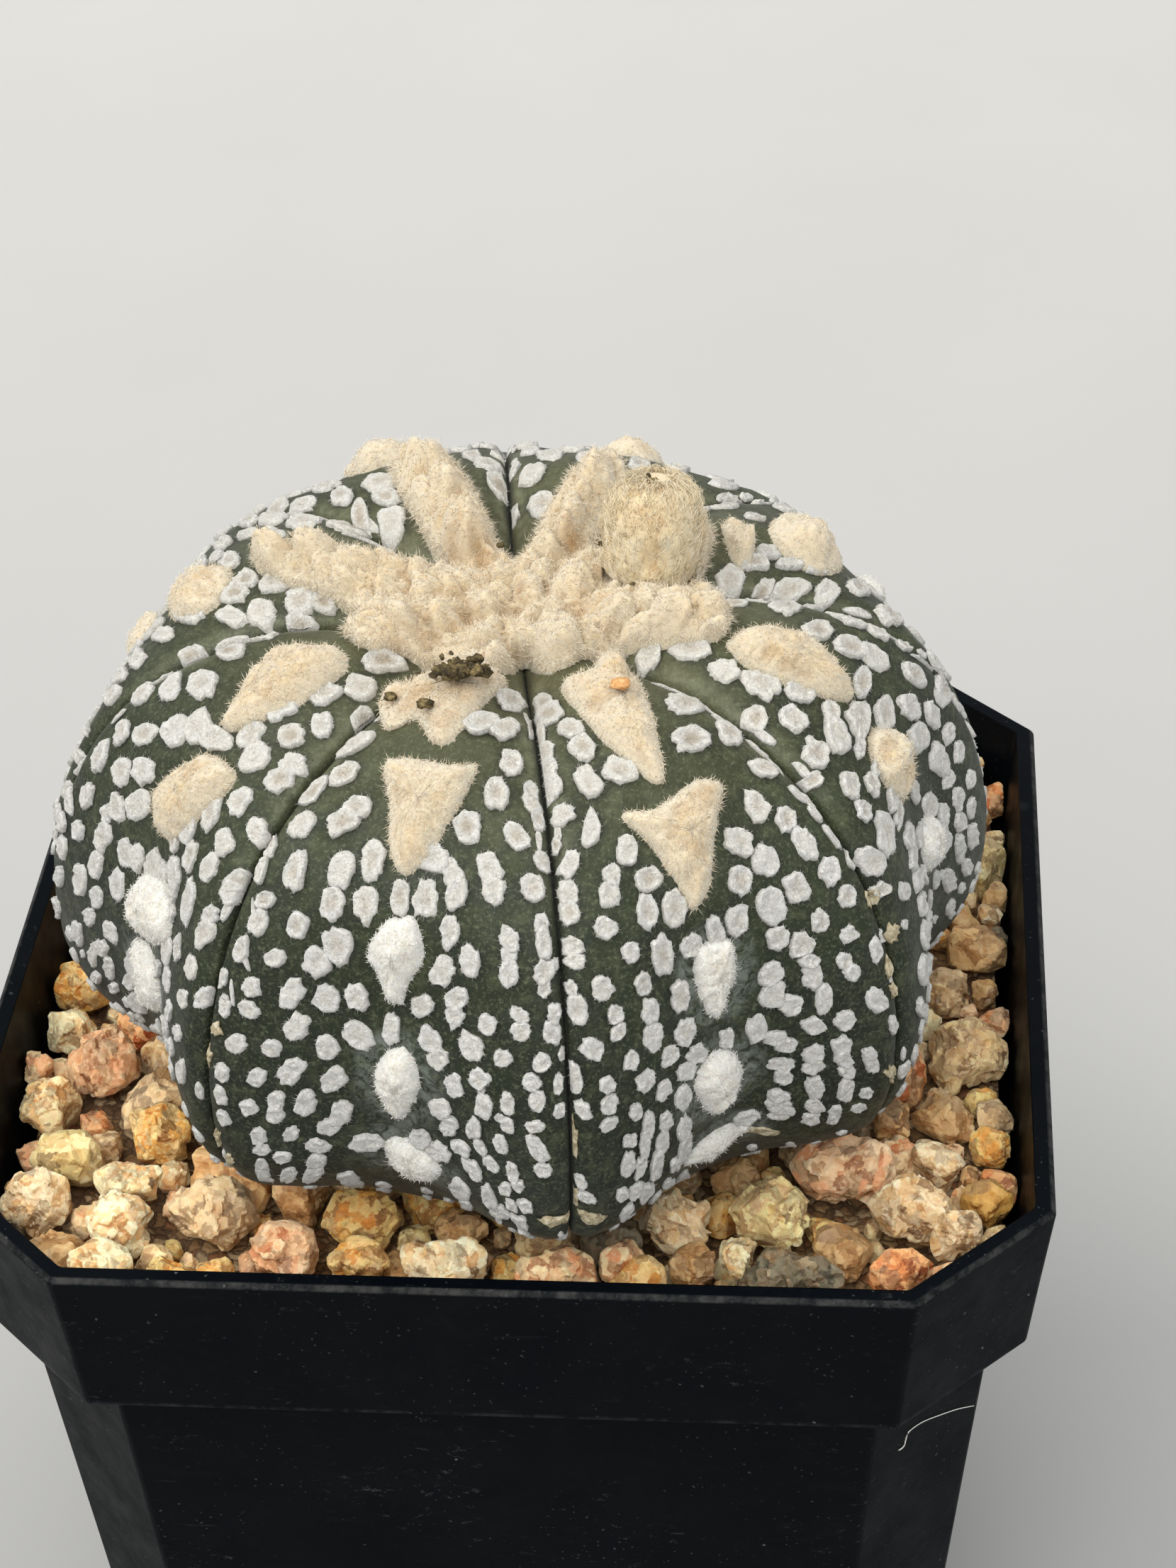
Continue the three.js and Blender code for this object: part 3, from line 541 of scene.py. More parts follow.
def pot_material():
    m = Mat("pot_black_plastic", 0.45, Specular_IOR_Level=0.045)
    at = m.t.nodes.new("ShaderNodeSeparateXYZ")
    m.t.links.new(m.pos, at.inputs[0])
    ax, ay, z = m.math("ABSOLUTE", at.outputs[0]), m.math("ABSOLUTE", at.outputs[1]), at.outputs[2]
    broad = m.noise(14, 4, 0.6)
    base = m.ramp(broad, [(0.3, srgb(2, 5, 9)), (0.7, srgb(6, 9, 13))])
    smear = m.noise(5, 5, 0.7, 0.8, m.stretch(1.0, 1.0, 1.6))
    base = m.mix(m.band(smear, 0.55, 0.8, 0.0, 0.2), base, srgb(24, 28, 31))
    ragged = m.warp(0.35, 0.22)
    base = m.mix(m.math("MULTIPLY", m.band(m.cells(2.1, vec=ragged), 0.03, 0.07, 0.8, 0.0), m.band(m.noise(6.0, 2), 0.48, 0.62)), base, srgb(112, 112, 106))
    base = m.mix(m.math("MULTIPLY", m.band(m.cells(0.75, vec=ragged), 0.05, 0.15, 0.75, 0.0), m.band(m.noise(8, 3), 0.42, 0.60)), base, srgb(66, 70, 71))
    # scuffs: small ragged patches, and a few short scratches
    scuff = m.math("MULTIPLY", m.band(m.noise(1.1, 6, 0.8, 0.5, m.stretch(0.6, 0.6, 1.3)), 0.60, 0.72), m.band(m.noise(13, 2), 0.50, 0.62))
    base = m.mix(m.math("MULTIPLY", scuff, 0.6), base, srgb(98, 100, 98))
    s1 = m.noise(1.2, 2, 0.5, 0.3, m.stretch(0.2, 0.2, 1.6))
    base = m.mix(m.math("MULTIPLY", m.band(s1, 0.70, 0.75, 0.0, 0.25), m.band(m.noise(11, 2), 0.5, 0.62)), base, srgb(48, 52, 54))
    # the rim's outer arris is worn pale in places
    flat = m.math("SUBTRACT", 0.0425, m.math("MAXIMUM", ax, ay))
    cut = m.math("MULTIPLY", m.math("SUBTRACT", 0.07457, m.math("ADD", ax, ay)), 0.7071)
    off = m.math("ADD", m.math("MINIMUM", flat, cut), m.math("SUBTRACT", 0.080, z))
    line = m.band(off, 0.00018, 0.00046, 1.0, 0.0)
    base = m.mix(m.math("MULTIPLY", line, m.band(m.noise(1.6, 5, 0.75), 0.40, 0.64, 0.10, 0.85)), base, srgb(92, 92, 88))
    # a faint broken pale line along the band's lower arris: a painted highlight
    lower = m.math("MULTIPLY", m.band(m.math("ABSOLUTE", m.math("SUBTRACT", z, 0.0658)), 0.0001, 0.0004, 1.0, 0.0), m.band(m.noise(2.2, 4, 0.7), 0.44, 0.66))
    base = m.mix(m.math("MULTIPLY", lower, 0.5), base, srgb(58, 60, 60))
    n = m.bump(m.noise(0.35, 3, 0.6), 0.02, 0.6)
    n = m.bump(m.noise(18, 2), 0.5, 0.25, n)
    n = m.bump(m.noise(0.9, 4, 0.7), 0.03, 0.5, n)
    rough = m.band(m.noise(4, 5, 0.65), 0.3, 0.7, 0.38, 0.56)
    return m.done(base, n, rough)


def soil_material():
    m = Mat("potting_mix_brown", 0.95, Specular_IOR_Level=0.2)
    base = m.ramp(m.noise(1.5, 6, 0.7), [(0.3, srgb(28, 20, 14)), (0.55, srgb(58, 43, 30)), (0.75, srgb(96, 74, 52))])
    base = m.mix(m.band(m.cells(2.4), 0.05, 0.2, 0.8, 0.0), base, srgb(172, 160, 138))
    n = m.bump(m.noise(0.8, 6, 0.7), 0.6, 1.0)
    n = m.bump(m.cells(1.3), 0.3, 0.7, n)
    return m.done(base, n)


def grit_material():
    m = Mat("fine_grit", 0.85, Specular_IOR_Level=0.35)
    broken = m.warp(0.8, 0.4)
    sep = m.t.nodes.new("ShaderNodeSeparateColor")
    m.t.links.new(m.cells(1.1, "F1", "Color", broken), sep.inputs[0])
    # painted shade: the grit's colours are darkened as the shade in the gaps between the stones
    base = m.ramp(sep.outputs[0], [(0.0, srgb(132, 102, 66)), (0.25, srgb(160, 130, 90)), (0.45, srgb(102, 78, 54)), (0.65, srgb(174, 150, 114)), (0.85, srgb(142, 98, 64))], "CONSTANT")
    edge = m.cells(1.1, "DISTANCE_TO_EDGE", "Distance", broken)
    # painted shade at each grain's edge, where the bump dips
    base = m.mix(m.band(edge, 0.0, 0.14, 0.85, 0.0), base, srgb(66, 48, 32))
    base = m.mix(m.band(m.noise(0.4, 4), 0.5, 0.7, 0.0, 0.4), base, srgb(96, 72, 48))
    n = m.bump(edge, 0.5, 1.0)
    n = m.bump(m.noise(0.3, 4), 0.1, 0.8, n)
    return m.done(base, n)


def bark_material():
    m = Mat("corky_scar", 0.9, Specular_IOR_Level=0.2)
    base = m.ramp(m.noise(0.6, 5, 0.7), [(0.3, srgb(96, 84, 62)), (0.5, srgb(176, 164, 134)), (0.7, srgb(214, 206, 182))])
    n = m.bump(m.noise(0.3, 5, 0.7), 0.12, 1.0)
    return m.done(base, n)


def remains_material():
    m = Mat("dried_petals", 0.85, Specular_IOR_Level=0.25)
    base = m.ramp(m.noise(0.7, 5, 0.7, 0.5), [(0.30, srgb(30, 25, 16)), (0.48, srgb(70, 60, 38)), (0.62, srgb(122, 106, 70)), (0.78, srgb(176, 158, 116))])
    n = m.bump(m.noise(0.25, 4, 0.7), 0.12, 1.0)
    return m.done(base, n)


def nub_material():
    m = Mat("dry_scar", 0.85, Specular_IOR_Level=0.25)
    base = m.ramp(m.noise(0.5, 5, 0.7, 0.6), [(0.3, srgb(168, 116, 70)), (0.5, srgb(204, 152, 96)), (0.7, srgb(220, 184, 136))])
    n = m.bump(m.noise(0.25, 5, 0.7), 0.1, 1.0)
    return m.done(base, n)


# ------------------------------------------------------------------ tables
# Felt flecks of the photographed side: azimuth, latitude, half length, half width and turn of each.
FLECKS_SEEN = """
266.65,48.46,1.33,1.01,102 274.83,47.49,1.17,0.84,129 278.63,49.85,1.00,0.50,101 262.00,44.13,1.22,1.06,138 265.23,42.32,1.16,0.79,119 266.15,39.80,1.17,0.83,81 270.65,43.31,1.26,0.83,106
271.41,40.45,1.14,0.90,95 278.82,44.01,1.01,0.61,112 277.05,40.64,1.10,0.88,105 261.70,38.79,1.47,0.99,93 257.99,38.43,1.43,0.72,94 265.59,34.82,1.29,0.73,86 268.47,30.99,1.25,0.82,97
264.74,29.21,1.27,0.93,65 273.70,34.02,0.97,0.78,102 273.63,32.16,0.65,0.60,5 273.57,29.68,1.12,0.73,86 277.99,35.87,0.82,0.56,91 278.14,33.54,1.41,0.60,91 278.00,29.59,0.99,0.74,70
277.95,27.51,0.77,0.47,86 262.19,23.36,1.05,0.82,55 266.81,25.36,1.06,0.84,61 266.67,22.61,0.98,0.75,75 270.89,21.96,0.85,0.75,82 274.80,23.70,0.70,0.66,161 274.96,21.28,0.81,0.72,31
279.01,23.77,0.82,0.57,76 278.61,21.00,0.88,0.66,95 263.47,17.68,1.14,0.96,101 264.53,14.60,1.03,0.80,50 268.78,18.06,1.24,0.97,137 272.69,16.91,0.74,0.69,64 277.23,16.73,0.81,0.64,55
279.64,17.66,0.58,0.28,87 266.58,10.08,1.08,0.82,106 269.79,12.68,0.89,0.78,64 270.32,7.67,1.14,0.73,86 276.02,13.50,0.74,0.72,47 276.57,10.46,0.94,0.62,81 273.20,9.19,0.90,0.62,96
279.04,13.15,0.85,0.39,86 264.71,4.04,1.08,0.86,48 265.79,0.65,1.17,0.72,68 269.05,2.22,1.04,0.68,82 269.76,-1.19,0.74,0.56,96 273.13,5.17,0.70,0.53,90 276.27,5.90,0.70,0.52,28
279.04,8.58,0.65,0.44,77 261.56,-6.27,1.20,0.81,69 264.10,-7.68,1.19,1.00,57 267.26,-3.59,0.93,0.72,33 272.27,0.96,0.97,0.63,93 276.40,1.69,1.29,0.70,109 276.99,-2.39,0.77,0.64,65
268.68,-7.53,1.08,0.88,109 270.98,-4.41,0.79,0.62,128 273.53,-4.61,1.01,0.54,91 274.05,-7.03,0.65,0.50,95 266.54,-16.42,1.85,0.92,79 267.00,-21.50,1.16,0.61,76 270.53,-13.34,1.61,0.71,93
271.60,-16.90,1.46,0.83,67 272.58,-9.09,0.76,0.52,65 273.23,-12.78,0.65,0.51,97 274.82,-11.67,0.69,0.58,118 274.12,-17.12,1.00,0.63,103 273.45,70.15,1.68,1.09,55 266.31,63.54,1.56,1.12,49
272.30,63.47,1.38,1.06,53 274.02,57.92,1.27,0.84,98 271.16,53.29,1.40,0.95,92 277.69,53.75,0.96,0.63,85 277.81,51.91,0.98,0.62,106 279.35,65.29,1.45,0.31,84 284.44,69.96,1.31,0.65,102
284.76,66.88,1.65,1.01,96 281.01,63.27,1.76,0.53,84 288.64,62.54,1.30,0.85,115 289.59,59.00,1.24,0.95,107 281.48,60.09,1.33,0.69,87 281.52,57.27,1.07,0.74,77 281.53,54.28,1.11,0.93,91
282.80,50.17,1.02,0.81,55 288.65,54.03,1.41,0.89,103 295.00,54.41,1.30,1.07,143 287.10,47.52,1.40,0.75,72 281.12,46.23,0.84,0.39,84 282.73,43.32,1.15,0.65,60 291.97,44.00,1.21,0.79,71
281.96,39.53,0.97,0.83,85 281.82,37.19,0.98,0.74,91 288.73,41.20,0.81,0.73,76 287.83,38.82,0.99,0.81,86 293.93,39.76,1.11,0.90,13 292.71,35.68,1.39,0.80,83 296.63,35.25,1.48,0.96,79
286.50,34.55,0.92,0.85,158 281.81,32.65,0.84,0.71,111 281.98,30.83,0.77,0.67,152 289.38,30.79,0.80,0.73,77 293.75,29.39,1.58,0.92,93 298.22,29.40,0.99,0.93,126 301.95,30.33,1.21,0.72,94
281.20,27.10,0.65,0.47,109 285.11,26.57,0.95,0.81,96 290.54,25.95,0.90,0.68,94 281.75,24.11,1.22,0.71,92 286.43,22.54,0.82,0.60,91 286.49,19.80,0.72,0.63,45 291.01,21.64,1.07,0.78,94
295.48,22.37,1.30,0.83,88 291.02,17.46,1.12,0.88,58 295.68,15.90,1.12,1.06,58 283.20,18.09,0.94,0.82,135 287.84,14.75,0.75,0.64,91 293.12,12.93,0.87,0.83,4 297.15,10.55,1.04,0.81,137
295.34,8.26,1.01,0.83,154 280.85,13.78,1.31,0.59,95 284.69,11.91,0.74,0.60,119 284.78,8.50,0.87,0.66,86 284.62,4.96,0.85,0.54,176 289.51,10.27,0.90,0.82,92 291.86,6.90,0.90,0.75,75
294.72,2.75,1.27,0.86,94 281.64,8.55,0.83,0.55,112 287.97,5.34,0.82,0.59,109 289.57,1.21,1.31,0.60,93 292.07,-0.50,1.05,0.69,95 294.99,-5.42,1.50,0.76,96 287.09,0.01,0.65,0.56,169
289.10,-2.53,1.51,0.54,90 291.62,-4.83,1.29,0.64,95 295.34,-11.28,1.85,0.84,91 286.86,-4.99,1.34,0.62,86 288.62,-6.80,1.30,0.53,82 290.89,-9.48,1.61,0.72,88 281.14,-5.53,0.78,0.42,109
281.73,-9.02,0.83,0.51,139 286.22,-11.48,0.82,0.55,117 287.97,-12.72,1.00,0.65,103 289.64,-15.46,1.55,0.69,100 287.09,-17.82,1.33,0.59,82 330.71,69.72,1.44,0.90,31 336.04,65.46,1.82,0.97,92
318.91,60.28,1.85,1.28,4 311.88,55.12,1.85,1.16,180 321.12,53.70,1.44,0.99,48 320.42,47.07,1.19,0.80,125 314.78,43.46,1.26,0.94,94 317.66,40.12,1.10,0.76,71 309.31,40.51,1.20,1.02,138
311.92,36.72,1.26,0.99,84 318.29,36.27,1.44,0.87,95 319.75,31.12,1.10,0.81,82 324.13,30.86,1.03,0.47,54 307.33,35.82,1.14,0.99,64 314.61,31.31,1.21,0.95,101 310.59,30.72,1.49,1.19,113
320.68,26.65,0.85,0.78,136 305.36,30.67,1.25,0.97,83 310.46,25.68,0.98,0.88,94 313.12,23.12,1.04,0.94,114 313.62,20.04,0.83,0.59,150 313.61,17.53,1.09,0.80,94 316.23,25.34,0.89,0.64,87
319.22,21.29,0.69,0.65,17 317.76,17.50,0.82,0.65,98 318.30,15.33,0.75,0.60,103 308.62,20.25,1.04,0.91,23 308.44,16.48,1.19,1.02,98 310.46,13.51,0.93,0.88,152 314.40,12.72,1.30,0.64,87
320.64,8.73,1.23,0.76,113 305.95,10.56,1.23,0.84,94 308.24,7.44,0.99,0.72,144 309.43,5.57,0.98,0.74,143 312.87,8.05,0.87,0.80,138 316.46,7.37,0.88,0.81,104 301.64,11.06,0.93,0.60,95
309.01,0.71,0.99,0.71,160 309.30,-2.45,0.81,0.70,131 312.76,1.84,0.92,0.73,108 312.79,-1.26,0.84,0.73,31 313.12,-6.30,1.24,0.71,103 313.40,-11.16,0.99,0.70,118 313.33,-14.27,0.86,0.72,101
315.93,2.29,1.01,0.75,104 316.18,-0.61,0.98,0.62,121 316.67,-3.49,0.90,0.60,117 316.71,-7.96,1.28,0.62,91 319.37,-1.15,0.76,0.50,129 319.68,-3.37,1.18,0.52,108 308.94,-7.44,1.05,0.59,154
309.31,-10.39,1.30,0.83,152 309.37,-12.87,0.88,0.60,175 305.10,-12.34,1.06,0.87,169 319.35,-9.84,0.64,0.53,152 316.06,-13.94,1.15,0.63,96 318.85,-13.20,0.73,0.53,151 333.41,60.15,1.23,1.07,108
335.53,55.47,1.56,1.30,85 339.49,51.02,1.28,1.18,106 327.88,53.01,1.15,0.93,27 333.12,49.44,1.25,1.07,73 340.17,46.17,1.07,0.75,34 336.86,43.80,1.69,1.19,38 330.48,44.33,1.28,1.14,29
326.02,42.06,0.83,0.61,174 331.25,38.29,1.15,0.97,56 335.42,35.79,1.04,0.81,46 330.28,34.45,0.90,0.84,69 332.29,29.54,1.85,1.30,42 326.91,28.26,1.59,1.07,131 339.29,31.90,1.85,0.85,21
326.23,24.06,0.87,0.55,152 330.75,20.45,0.94,0.73,144 321.98,16.98,1.01,0.58,77 324.00,17.84,0.52,0.43,76 328.11,16.65,0.57,0.36,148 322.75,2.47,0.90,0.48,101 328.86,-0.09,1.31,0.66,123
338.70,40.31,1.22,0.47,21 339.21,36.76,1.21,0.55,19 337.88,29.02,1.29,0.69,18 338.79,24.54,1.42,0.82,6 351.64,43.82,1.85,0.86,4 343.74,42.44,1.85,1.17,179 349.71,38.82,1.85,1.13,12
356.15,34.67,1.44,1.07,136 359.90,29.29,1.17,0.96,109 354.17,30.68,1.66,1.16,139 356.86,23.33,1.85,1.02,107 357.33,18.81,0.82,0.78,70 1.33,23.87,0.94,0.81,177 1.57,19.55,0.94,0.71,31
1.80,13.25,0.78,0.67,67 351.08,19.96,1.51,1.09,149 353.77,14.69,1.13,0.79,73 358.05,13.55,1.19,0.81,95 357.54,8.80,1.08,0.71,108 0.67,8.26,0.95,0.61,88 0.60,1.82,1.53,0.70,101
352.79,9.90,1.60,1.02,112 357.25,3.05,1.50,0.66,99 354.76,-2.20,1.85,0.78,124 4.37,55.58,1.85,1.00,143 358.41,51.52,1.85,1.09,146 7.27,45.93,1.58,1.08,107 358.31,46.58,1.68,1.30,118
359.58,42.87,1.57,1.29,130 6.91,42.04,1.10,0.96,169 13.99,38.38,1.85,1.20,137 2.32,35.20,1.59,0.85,111 5.89,27.79,1.85,1.04,157 13.40,62.29,1.47,1.11,9 18.60,58.78,1.23,0.80,104
19.46,53.69,1.24,0.59,113 20.32,48.96,1.32,0.62,112 22.21,56.56,1.14,0.68,106 10.08,58.17,1.39,0.71,154 12.02,54.42,1.85,1.05,124 13.32,48.98,1.58,0.89,150 19.02,42.22,1.85,0.99,140
9.03,50.98,1.11,0.59,115 6.83,37.43,0.89,0.55,117 104.00,52.50,1.85,0.78,86 101.40,57.11,1.29,1.20,89 99.42,62.11,1.73,1.05,94 95.43,57.00,1.01,0.53,83 90.68,61.14,1.48,1.12,80
87.50,54.50,1.85,1.08,96 96.19,67.08,1.09,0.53,104 85.72,68.57,1.85,1.07,121 132.50,47.00,1.85,1.15,76 135.37,54.18,1.68,0.97,63 128.16,57.75,1.85,1.24,94 131.15,61.52,1.47,0.83,111
139.26,60.54,1.77,0.80,49 136.61,65.41,1.44,1.30,37 144.79,61.46,1.52,1.20,145 146.51,47.89,1.85,1.15,66 148.24,55.21,1.85,1.30,56 146.18,42.45,1.85,0.73,63 153.50,42.50,1.85,0.79,53
159.00,41.50,1.14,0.60,45 165.16,50.50,1.85,0.87,44 174.15,55.32,1.24,0.88,54 177.56,53.98,1.34,1.05,67 177.36,59.45,1.30,0.90,90 183.38,62.81,1.37,1.17,166 183.66,65.56,1.05,0.88,82
184.25,53.76,1.55,0.93,37 185.60,57.77,1.50,1.09,21 189.71,62.17,1.23,0.82,110 178.82,47.03,1.85,0.87,54 180.29,42.58,1.57,0.83,40 182.99,38.28,1.80,0.80,27 192.08,57.36,1.59,0.83,50
189.76,47.45,1.14,0.64,94 194.68,53.20,1.70,1.10,30 200.79,48.63,1.83,1.30,14 196.67,44.33,1.44,0.94,145 193.59,39.90,1.11,0.96,139 183.35,34.50,1.85,0.85,24 185.19,32.02,0.98,0.52,23
206.25,42.60,1.61,1.28,5 209.53,45.49,1.70,1.20,0 214.55,46.38,1.85,1.03,26 201.55,38.33,1.41,0.93,55 197.23,34.79,1.03,0.85,107 196.29,29.06,1.32,0.88,99 187.58,26.32,0.85,0.45,23
202.10,31.74,1.24,1.10,40 206.21,35.17,1.42,1.10,28 197.48,22.77,1.04,0.81,95 208.39,30.95,1.71,1.15,48 204.35,27.10,1.20,1.00,102 202.60,24.49,0.82,0.67,106 203.45,20.80,1.47,0.86,87
198.44,16.83,0.82,0.72,103 200.95,9.04,1.53,0.82,91 203.65,15.26,1.17,0.81,95 204.46,8.91,1.08,0.77,72 208.21,15.31,1.41,0.97,101 208.68,22.31,1.16,1.04,123 211.09,23.62,1.17,0.96,77
203.01,2.85,1.22,0.57,72 199.73,-4.12,1.33,0.70,81 207.32,3.56,1.13,0.88,76 204.74,-2.74,1.24,0.74,55 202.38,-7.20,1.09,0.57,68 211.47,0.47,1.85,0.71,59 213.23,4.82,1.69,0.71,71
205.72,-7.00,1.48,0.60,76 210.29,-5.77,1.57,0.66,55 220.00,8.00,1.85,0.71,41 209.99,-12.35,1.76,0.96,46 201.89,-12.44,0.87,0.46,58 223.66,69.15,1.66,1.12,74 228.15,63.94,1.35,1.09,94
224.53,60.17,1.30,0.93,89 220.85,54.85,1.31,0.97,62 229.82,56.57,1.10,0.82,140 234.82,60.64,1.28,0.69,107 238.75,56.51,1.47,1.03,76 226.94,53.09,1.05,1.00,148 220.34,49.94,1.26,1.06,104
224.25,48.17,1.44,1.05,94 231.48,50.26,1.03,1.01,163 231.21,47.65,1.21,1.05,57 241.44,52.08,1.27,0.94,54 237.93,48.40,1.49,0.81,87 227.54,42.51,1.17,1.01,102 223.98,38.88,1.42,0.83,105
220.98,35.17,1.31,0.99,117 239.68,43.77,1.17,0.91,79 247.15,48.39,1.05,1.01,61 245.91,46.05,1.30,0.99,36 233.57,40.46,1.21,0.75,137 229.40,36.98,1.03,1.00,128 236.49,39.57,0.97,0.61,114
237.13,36.30,1.10,0.50,106 242.10,37.90,1.56,0.78,104 248.56,40.07,1.37,0.96,91 252.71,42.46,1.52,0.99,110 228.90,33.04,1.16,0.94,94 223.99,32.28,1.26,0.84,93 221.23,27.98,1.49,1.00,124
217.99,24.76,1.58,0.84,109 215.11,24.91,1.59,1.13,85 234.35,33.51,1.08,0.79,57 234.11,31.59,0.96,0.83,101 239.61,32.93,0.80,0.63,57 239.59,29.80,1.08,0.69,86 248.58,35.57,1.34,0.89,106
253.23,36.67,1.34,1.03,102 226.99,26.56,1.81,0.91,103 222.54,22.17,1.08,0.77,23 232.35,27.40,0.96,0.72,34 232.33,24.60,1.28,0.93,69 223.81,16.12,1.37,1.25,174 227.37,18.94,1.03,0.58,125
244.81,31.25,0.93,0.86,91 250.33,30.13,1.43,1.15,101 248.07,26.96,1.16,1.06,73 242.83,25.73,0.88,0.67,56 238.43,25.17,0.99,0.66,93 231.54,18.64,0.96,0.83,104 240.73,20.34,0.80,0.69,118
240.88,16.78,0.81,0.71,159 245.56,21.08,1.26,0.83,79 249.76,21.60,1.15,0.98,99 253.45,22.82,1.10,0.90,120 237.82,16.04,0.89,0.55,101 234.53,15.34,1.10,0.64,68 231.07,12.90,0.86,0.73,25
236.79,20.11,0.68,0.42,101 246.64,15.71,1.14,0.89,80 253.95,15.98,1.32,0.99,135 250.28,12.75,1.07,0.92,119 239.90,10.46,0.82,0.77,113 244.02,11.18,0.80,0.69,84 230.66,6.12,0.94,0.67,36
246.24,7.15,1.38,0.80,65 251.05,6.01,1.29,0.88,57 242.49,5.07,0.83,0.68,75 238.39,4.39,0.81,0.66,95 231.46,-0.64,1.49,0.75,66 238.06,-0.16,0.85,0.57,98 241.42,-1.44,0.80,0.69,91
244.50,0.56,0.93,0.65,73 244.34,-2.34,0.94,0.63,87 247.75,0.35,1.26,0.83,81 251.62,-2.13,1.17,0.85,86 250.17,-5.48,0.95,0.81,27 238.20,-4.87,0.67,0.65,2 242.19,-7.63,0.94,0.61,84
245.79,-6.94,0.83,0.56,58 242.22,-10.75,0.78,0.58,51 244.33,-12.68,0.77,0.68,14 248.44,-10.39,0.92,0.89,133 247.95,-14.67,0.99,0.75,68 246.75,-19.13,1.43,0.75,66 254.26,-10.47,1.31,1.02,21
241.37,-16.59,1.63,0.60,75 244.03,-18.51,1.40,0.63,66 250.21,-23.27,1.54,0.79,86 250.00,-27.00,1.76,0.75,85 258.19,18.23,1.35,0.64,89 218.93,31.90,0.89,0.63,130 221.94,25.85,0.82,0.76,2
221.87,24.17,0.73,0.67,16 225.74,11.95,1.09,0.95,80 227.56,7.32,1.00,0.66,67 205.30,-12.33,0.90,0.47,54 195.78,10.45,1.03,0.66,104 195.71,4.37,1.12,0.61,74 193.51,-4.73,1.30,0.69,66
190.88,22.96,1.45,0.65,176 193.92,18.15,1.14,0.64,152 194.00,13.84,0.81,0.72,141 176.51,44.86,0.94,0.37,39 338.11,21.67,1.57,0.86,7 336.83,17.82,1.61,0.87,175 335.49,14.04,1.49,0.88,164
333.73,9.56,1.30,1.12,172 338.50,7.50,1.85,0.79,144 359.51,-4.13,1.31,0.57,120 356.82,-11.24,1.12,0.59,118 331.00,5.00,1.78,1.18,116 344.52,20.15,1.57,0.86,176 341.84,41.57,1.36,0.41,21
293.96,-14.03,1.01,0.53,103 293.18,-19.22,0.85,0.45,105 48.62,43.56,1.01,0.53,122 38.00,45.50,1.04,0.55,126 49.29,48.62,1.29,0.63,100 270.09,10.60,0.39,0.30,51 272.16,6.23,0.45,0.31,71
279.52,30.60,0.50,0.35,86
"""
# Thin slivers of felt along the creases: both ends and half width.
SLIVERS = "190.0,50.5,190.0,55.5,0.25 190.5,56.5,191.0,58.5,0.22 193.0,41.0,192.5,45.0,0.19 194.0,33.5,194.0,36.5,0.22 193.5,38.0,193.0,39.5,0.19 143.5,48.5,143.0,56.5,0.22 150.0,62.5,145.0,69.0,0.14 4.0,61.5,4.0,58.0,0.22 6.0,36.0,9.0,29.0,0.19 10.0,27.0,6.5,21.5,0.22 319.5,66.0,323.0,62.5,0.28 322.5,59.5,324.5,54.5,0.28 323.5,50.0,323.0,45.0,0.22 322.0,43.5,322.5,40.5,0.39 322.5,40.0,322.5,37.0,0.39 322.5,37.0,323.0,32.5,0.36 277.5,68.5,280.0,65.0,0.22 237.5,32.5,240.0,29.0,0.19 238.0,26.5,240.0,22.5,0.19 238.0,20.5,239.0,16.5,0.17"
# Corky scars: azimuth, latitude, half length, half width and turn.
BARK = "237.0,11.5,0.62,0.46,68 236.0,6.0,0.79,0.45,78 236.0,-12.0,1.46,0.43,69 237.0,-16.0,1.33,0.45,57 324.5,24.0,0.77,0.68,62 325.5,17.0,0.78,0.60,68 323.5,12.5,0.83,0.46,79 323.5,8.5,0.68,0.47,116 280.5,3.0,1.60,0.36,89 280.5,-9.5,0.97,0.31,91 308.0,-18.0,1.83,0.5,163 323.5,-9.0,1.58,0.5,116 278.5,-14.5,1.29,0.5,5 282.5,-14.5,1.27,0.5,144"

